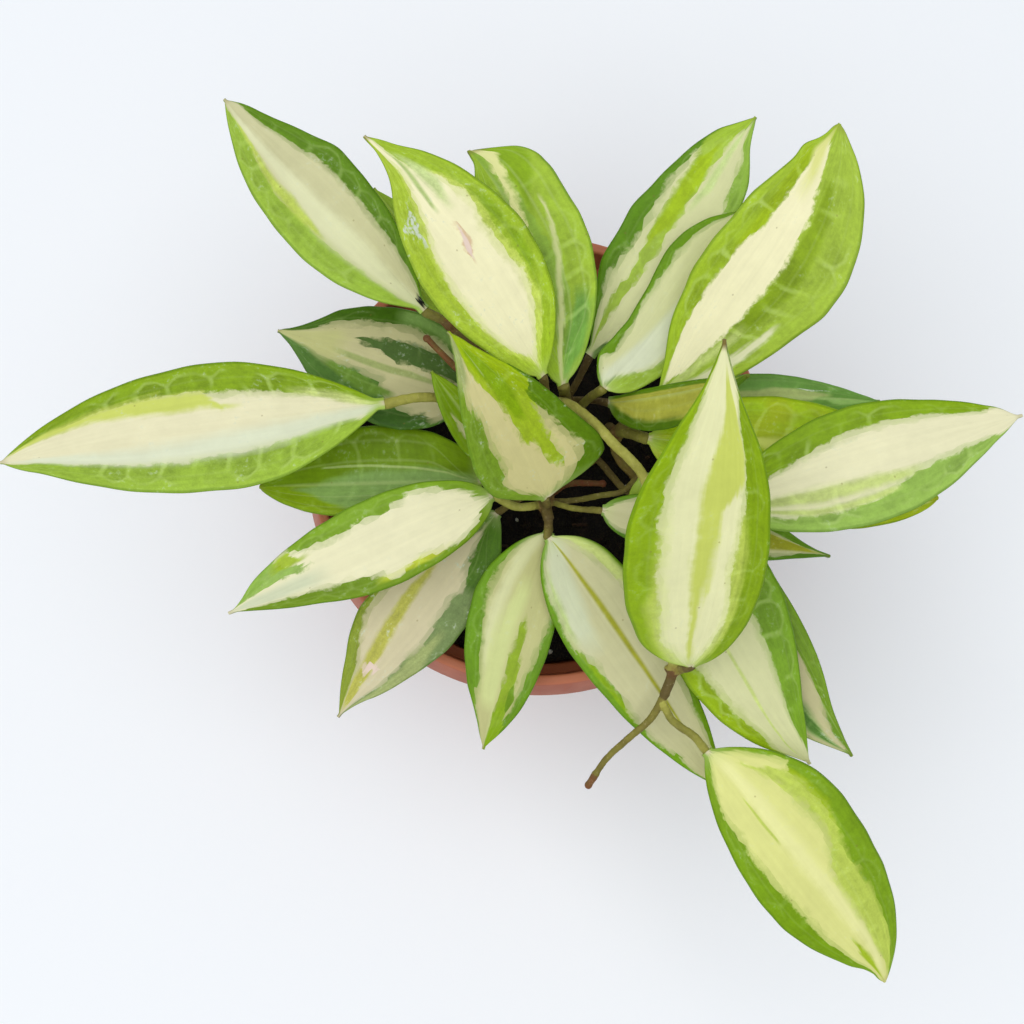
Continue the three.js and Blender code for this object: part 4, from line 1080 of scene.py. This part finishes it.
def makeStem(name, stem, seed):
    draw = random.Random(seed)
    shell = bmesh.new()
    tubes = newTubes()
    samples = growStem(stem, tubes)
    for leafName, (tint, wide, *start) in stem["stalks"].items():
        samples += growStalk(stem, leaves[leafName], tint, wide, start, tubes)
    for redness, wide, *path in stem.get("twigs", []):
        samples += growTwig(redness, wide, path, tubes, shell)
    for knob in stem["knobs"]:
        addBall(shell, knob, stemLook["knob"])
        for _ in range(stemLook["buds"]):
            out = Vector([draw.uniform(-1, 1) for _ in range(3)]).normalized()
            bud = Vector(knob) + out * stemLook["knob"] * stemLook["budOut"]
            addBall(shell, bud, draw.uniform(*stemLook["budRadius"]))
    tubeMesh = solidMesh(bpy.data.objects.new("tubes", tubes))
    shell.from_mesh(tubeMesh)
    bpy.data.meshes.remove(tubeMesh)
    bpy.data.curves.remove(tubes)
    bmesh.ops.scale(shell, vec=(mm, mm, mm), verts=shell.verts)
    rough = toMesh(name + "_rough", shell)

    # One grown body from the joined tubes and knobs
    body = bpy.data.objects.new(name + "_rough", rough)
    remesh = body.modifiers.new("body", "REMESH")
    remesh.mode = "VOXEL"
    remesh.voxel_size = stemLook["voxel"] * mm
    ease = body.modifiers.new("ease", "SMOOTH")
    ease.factor = 0.5
    ease.iterations = 5
    mesh = solidMesh(body)
    bpy.data.meshes.remove(rough)

    # Each point of the body takes the tint and redness of the nearest sample, and knobs are reddish
    tree = kdtree.KDTree(len(samples))
    for i, (point, _, _) in enumerate(samples):
        tree.insert(point * mm, i)
    tree.balance()
    centres = [Vector(knob) * mm for knob in stem["knobs"]]
    tints = mesh.attributes.new("tint", "FLOAT", "POINT")
    reds = mesh.attributes.new("red", "FLOAT", "POINT")
    normals = [vert.normal.copy() for vert in mesh.vertices]
    for vert, normal in zip(mesh.vertices, normals):
        _, index, _ = tree.find(vert.co)
        tints.data[vert.index].value = samples[index][1]
        near = min((vert.co - centre).length for centre in centres)
        knobRed = min(stemLook["knobRed"], 1.4 - near / (1.9 * mm))
        reds.data[vert.index].value = max(samples[index][2], 0, knobRed)
        lump = noise.noise(vert.co * 700) + 0.6 * noise.noise(vert.co * 1900)
        vert.co += normal * lump * stemLook["lumps"] * mm
    addPiece(name + "_body", mesh, name, stemShades[stem["slot"]])


stemShades = {slot: stemShade(slot + "_skin") for slot in ("woody_stem", "green_stem")}
for number, (name, stem) in enumerate(stems.items()):
    makeStem(name, stem, number)
print("Stems made:", len(stems))

# profile is the section of the wall: radius and height. pale serves the scuffs and a painted highlight on the
# rim's top
potLook = {
    "steps": 160, "soften": 0.35, "drainHoles": 6, "drainRadius": 4, "drainCircle": 27,
    "profile": [(0, 0), (41, 0), (42, 1), (55.2, 88.3), (60.7, 88.9), (61.3, 89.5), (61.3, 90.9),
                (59.2, 99.5), (58.7, 100), (57.1, 100), (56.6, 99.5), (55.8, 89.5), (53, 87.3),
                (39.9, 3), (0, 3)],
    "paint": shadeOf(180, 98, 66), "pale": shadeOf(198, 120, 88), "deep": shadeOf(152, 74, 47),
}


def potShade():
    shade = Shade("terracotta_plastic", Specular_IOR_Level=0.3)
    place = shade.place()
    height = shade.parts(place).other("Z") / mm
    cloud = shade.noise(place, 45, 4, 0.6)
    grain = shade.noise(place, 1500, 2, 0.6)
    scuff = shade.noise(shade.add("Mapping", values={0: place, "Scale": (1, 1, 0.12)}), 260, 3, 0.7)
    colour = shade.mix(cloud.rise(0.35, 0.68) * 0.75, potLook["paint"], potLook["deep"])
    # Painted highlight: the top of the rim is made paler
    colour = shade.mix(height.rise(99.2, 99.8) * 0.7, colour, potLook["pale"])
    colour = shade.mix(scuff.rise(0.6, 0.78) * 0.3, colour, potLook["pale"])
    roughness = 0.42 + cloud * 0.2 + scuff.rise(0.55, 0.8) * 0.15
    return shade.finish(colour, roughness, grain * 0.35 + cloud * 0.3, depth=0.0003, strength=0.4)


def makePot():
    shell = bmesh.new()
    verts = [shell.verts.new((radius * mm, 0, height * mm)) for radius, height in potLook["profile"]]
    edges = [shell.edges.new(pair) for pair in zip(verts, verts[1:])]
    bmesh.ops.spin(shell, geom=verts + edges, cent=(0, 0, 0), axis=(0, 0, 1), angle=2 * math.pi,
                   steps=potLook["steps"], use_merge=True, use_duplicate=False)
    bmesh.ops.remove_doubles(shell, verts=shell.verts, dist=1e-6)
    bmesh.ops.recalc_face_normals(shell, faces=shell.faces)
    sharp = [edge for edge in shell.edges if edge.is_manifold and edge.calc_face_angle(0) > math.radians(25)]
    bmesh.ops.bevel(shell, geom=sharp, offset=potLook["soften"] * mm, segments=3, profile=0.5, affect="EDGES",
                    material=-1, clamp_overlap=True)
    mesh = toMesh("pot_shell", shell)

    # The drain holes are cut through its floor
    tools = bmesh.new()
    drainRadius = potLook["drainRadius"] * mm
    for i in range(potLook["drainHoles"]):
        angle = 2 * math.pi * (i + 0.5) / potLook["drainHoles"]
        spot = Vector((math.cos(angle), math.sin(angle), 0)) * potLook["drainCircle"] * mm
        bmesh.ops.create_cone(tools, cap_ends=True, segments=40, radius1=drainRadius, radius2=drainRadius,
                              depth=0.02, matrix=Matrix.Translation(spot))
    body = bpy.data.objects.new("pot_body", mesh)
    cutter = bpy.data.objects.new("drill", toMesh("drill", tools))
    bpy.context.scene.collection.objects.link(cutter)
    cut = body.modifiers.new("holes", "BOOLEAN")
    cut.operation = "DIFFERENCE"
    cut.object = cutter
    final = solidMesh(body)
    bpy.data.objects.remove(cutter)
    addPiece("pot_shell", final, "pot", potShade())


makePot()
print("Pot made")

# The sizes are the least and the greatest of a loose piece, along its three sides
soilLook = {
    "radius": 52.4, "bottomRadius": 39.8, "top": 87.4, "bottom": 3.4, "cells": 90, "clear": 1.6,
    "lumps": 1.6, "fineLumps": 0.7,
    "crumbs": 700, "crumbSize": ((0.5, 1.6), (0.5, 1.4), (0.4, 1)),
    "chips": 90, "chipSize": ((2, 4.6), (0.8, 1.8), (0.5, 0.9)), "chipBevel": 0.15,
    "pearls": 18, "pearlSize": ((0.4, 1), (0.4, 0.9), (0.4, 0.8)),
    "black": shadeOf(20, 16, 13), "brown": shadeOf(48, 35, 26),
    "bark": shadeOf(78, 52, 36), "pearl": shadeOf(172, 170, 162),
}


def soilHeight(x, y):
    # Lumpy top of the soil, in millimetres
    coarse = noise.noise(Vector((x * 0.06, y * 0.06, 0.4)))
    fine = noise.noise(Vector((x * 0.25, y * 0.25, 2.1)))
    return soilLook["top"] + soilLook["lumps"] * coarse + soilLook["fineLumps"] * fine


def soilShade(name, dark, light, share):
    shade = Shade(name, Specular_IOR_Level=0.2)
    place = shade.place()
    broad = shade.noise(place, 330, 4, 0.7)
    fine = shade.noise(place, 1600, 3, 0.7)
    colour = shade.mix(broad.rise(0.5, 0.72) * share, dark, light)
    colour = shade.scaled(colour, 0.6 + fine * 0.8)
    return shade.finish(colour, 0.8 + fine * 0.15, broad + fine * 0.5, depth=0.0012, strength=0.8)


def makeSoil():
    # A square grid is drawn onto a disc and made lumpy, and its rim goes down to the pot's floor
    shell = bmesh.new()
    cells = soilLook["cells"]
    bmesh.ops.create_grid(shell, x_segments=cells, y_segments=cells, size=soilLook["radius"])
    for vert in shell.verts:
        x, y = vert.co.x, vert.co.y
        length = math.hypot(x, y)
        factor = max(abs(x), abs(y)) / length if length else 1
        vert.co = (x * factor, y * factor, 0)
        vert.co.z = soilHeight(vert.co.x, vert.co.y)
    rim = [edge for edge in shell.edges if edge.is_boundary]
    wall = bmesh.ops.extrude_edge_only(shell, edges=rim)["geom"]
    for item in wall:
        if isinstance(item, bmesh.types.BMVert):
            item.co.z = soilLook["bottom"]
            item.co.xy = item.co.xy.normalized() * soilLook["bottomRadius"]
    bmesh.ops.contextual_create(shell, geom=[edge for edge in shell.edges if edge.is_boundary])
    bmesh.ops.recalc_face_normals(shell, faces=shell.faces)
    bmesh.ops.scale(shell, vec=(mm, mm, mm), verts=shell.verts)
    dark = soilShade("soil_skin", soilLook["black"], soilLook["brown"], 0.7)
    addPiece("soil_bed", toMesh("soil_bed", shell), "soil", dark)
    return dark


def crumb(shell, place):
    bmesh.ops.create_icosphere(shell, subdivisions=1, radius=1, matrix=place)


def chip(shell, place):
    made = bmesh.ops.create_cube(shell, size=1, matrix=place)["verts"]
    edges = list({edge for vert in made for edge in vert.link_edges})
    bmesh.ops.bevel(shell, geom=edges, offset=soilLook["chipBevel"], segments=1, profile=0.5, affect="EDGES",
                    material=-1)


def scatter(name, count, sizes, seed, material, build):
    # Many small lumps on the soil, as one piece
    draw = random.Random(seed)
    shell = bmesh.new()
    for _ in range(count):
        reach = (soilLook["radius"] - soilLook["clear"]) * math.sqrt(draw.random())
        angle = draw.uniform(0, 2 * math.pi)
        x, y = reach * math.cos(angle), reach * math.sin(angle)
        turn = Euler([draw.uniform(0, 6.3) for _ in range(3)]).to_matrix().to_4x4()
        size = Matrix.Diagonal((*[draw.uniform(least, most) for least, most in sizes], 1))
        build(shell, Matrix.Translation(Vector((x, y, soilHeight(x, y)))) @ turn @ size)
    bmesh.ops.scale(shell, vec=(mm, mm, mm), verts=shell.verts)
    addPiece(name, toMesh(name, shell), None, material, smooth=False)


darkSoil = makeSoil()
barkSkin = soilShade("bark_skin", soilLook["brown"], soilLook["bark"], 0.8)
gritSkin = soilShade("grit_skin", soilLook["pearl"], soilLook["pearl"], 0.1)
scatter("soil_crumbs", soilLook["crumbs"], soilLook["crumbSize"], 3, darkSoil, crumb)
scatter("bark_chips", soilLook["chips"], soilLook["chipSize"], 5, barkSkin, chip)
scatter("white_grit", soilLook["pearls"], soilLook["pearlSize"], 8, gritSkin, crumb)
print("Soil made")

# Places here are in metres
studio = {
    "eye": (-0.00713, -0.0801, 0.5125), "tilt": 9, "lens": 57, "sensor": 36,
    "floor": shadeOf(246, 247, 249), "floorHalf": 2.5, "floorRoughness": 0.9,
    "sky": (0.88, 0.94, 1, 1), "skyStrength": 0.57,
    "lampPower": 27.2, "lampSize": 2.4, "lampPlace": (-0.3, -0.25, 2), "lampAim": (0, 0, 0.1),
}


def makeFloor():
    shell = bmesh.new()
    bmesh.ops.create_grid(shell, x_segments=1, y_segments=1, size=studio["floorHalf"])
    mesh = toMesh("floor", shell)
    floor = bpy.data.objects.new("floor", mesh)
    bpy.context.scene.collection.objects.link(floor)
    shade = Shade("pale_floor", Specular_IOR_Level=0.2)
    shade.surface.inputs["Base Color"].default_value = studio["floor"]
    shade.surface.inputs["Roughness"].default_value = studio["floorRoughness"]
    mesh.materials.append(shade.material)


def makeStudio():
    scene = bpy.context.scene
    camera = bpy.data.cameras.new("camera")
    camera.lens = studio["lens"]
    camera.sensor_width = studio["sensor"]
    camera.clip_start = 0.01
    eye = bpy.data.objects.new("camera", camera)
    eye.location = studio["eye"]
    eye.rotation_euler = (math.radians(studio["tilt"]), 0, 0)
    scene.collection.objects.link(eye)
    scene.camera = eye
    light = bpy.data.lights.new("softbox", "AREA")
    light.shape = "DISK"
    light.size = studio["lampSize"]
    light.energy = studio["lampPower"]
    lamp = bpy.data.objects.new("softbox", light)
    scene.collection.objects.link(lamp)
    lamp.location = studio["lampPlace"]
    direction = Vector(studio["lampAim"]) - lamp.location
    lamp.rotation_euler = direction.to_track_quat("-Z", "Y").to_euler()
    world = bpy.data.worlds.new("studio")
    scene.world = world
    world.use_nodes = True
    background = world.node_tree.nodes["Background"]
    background.inputs["Color"].default_value = studio["sky"]
    background.inputs["Strength"].default_value = studio["skyStrength"]
    scene.view_settings.view_transform = "Standard"
    scene.view_settings.look = "None"


for number, (name, leaf) in enumerate(leaves.items()):
    makeLeaf(name, leaf, number * 7.3)
print("Leaves made:", len(leaves))

makeFloor()
makeStudio()
print("Studio made")
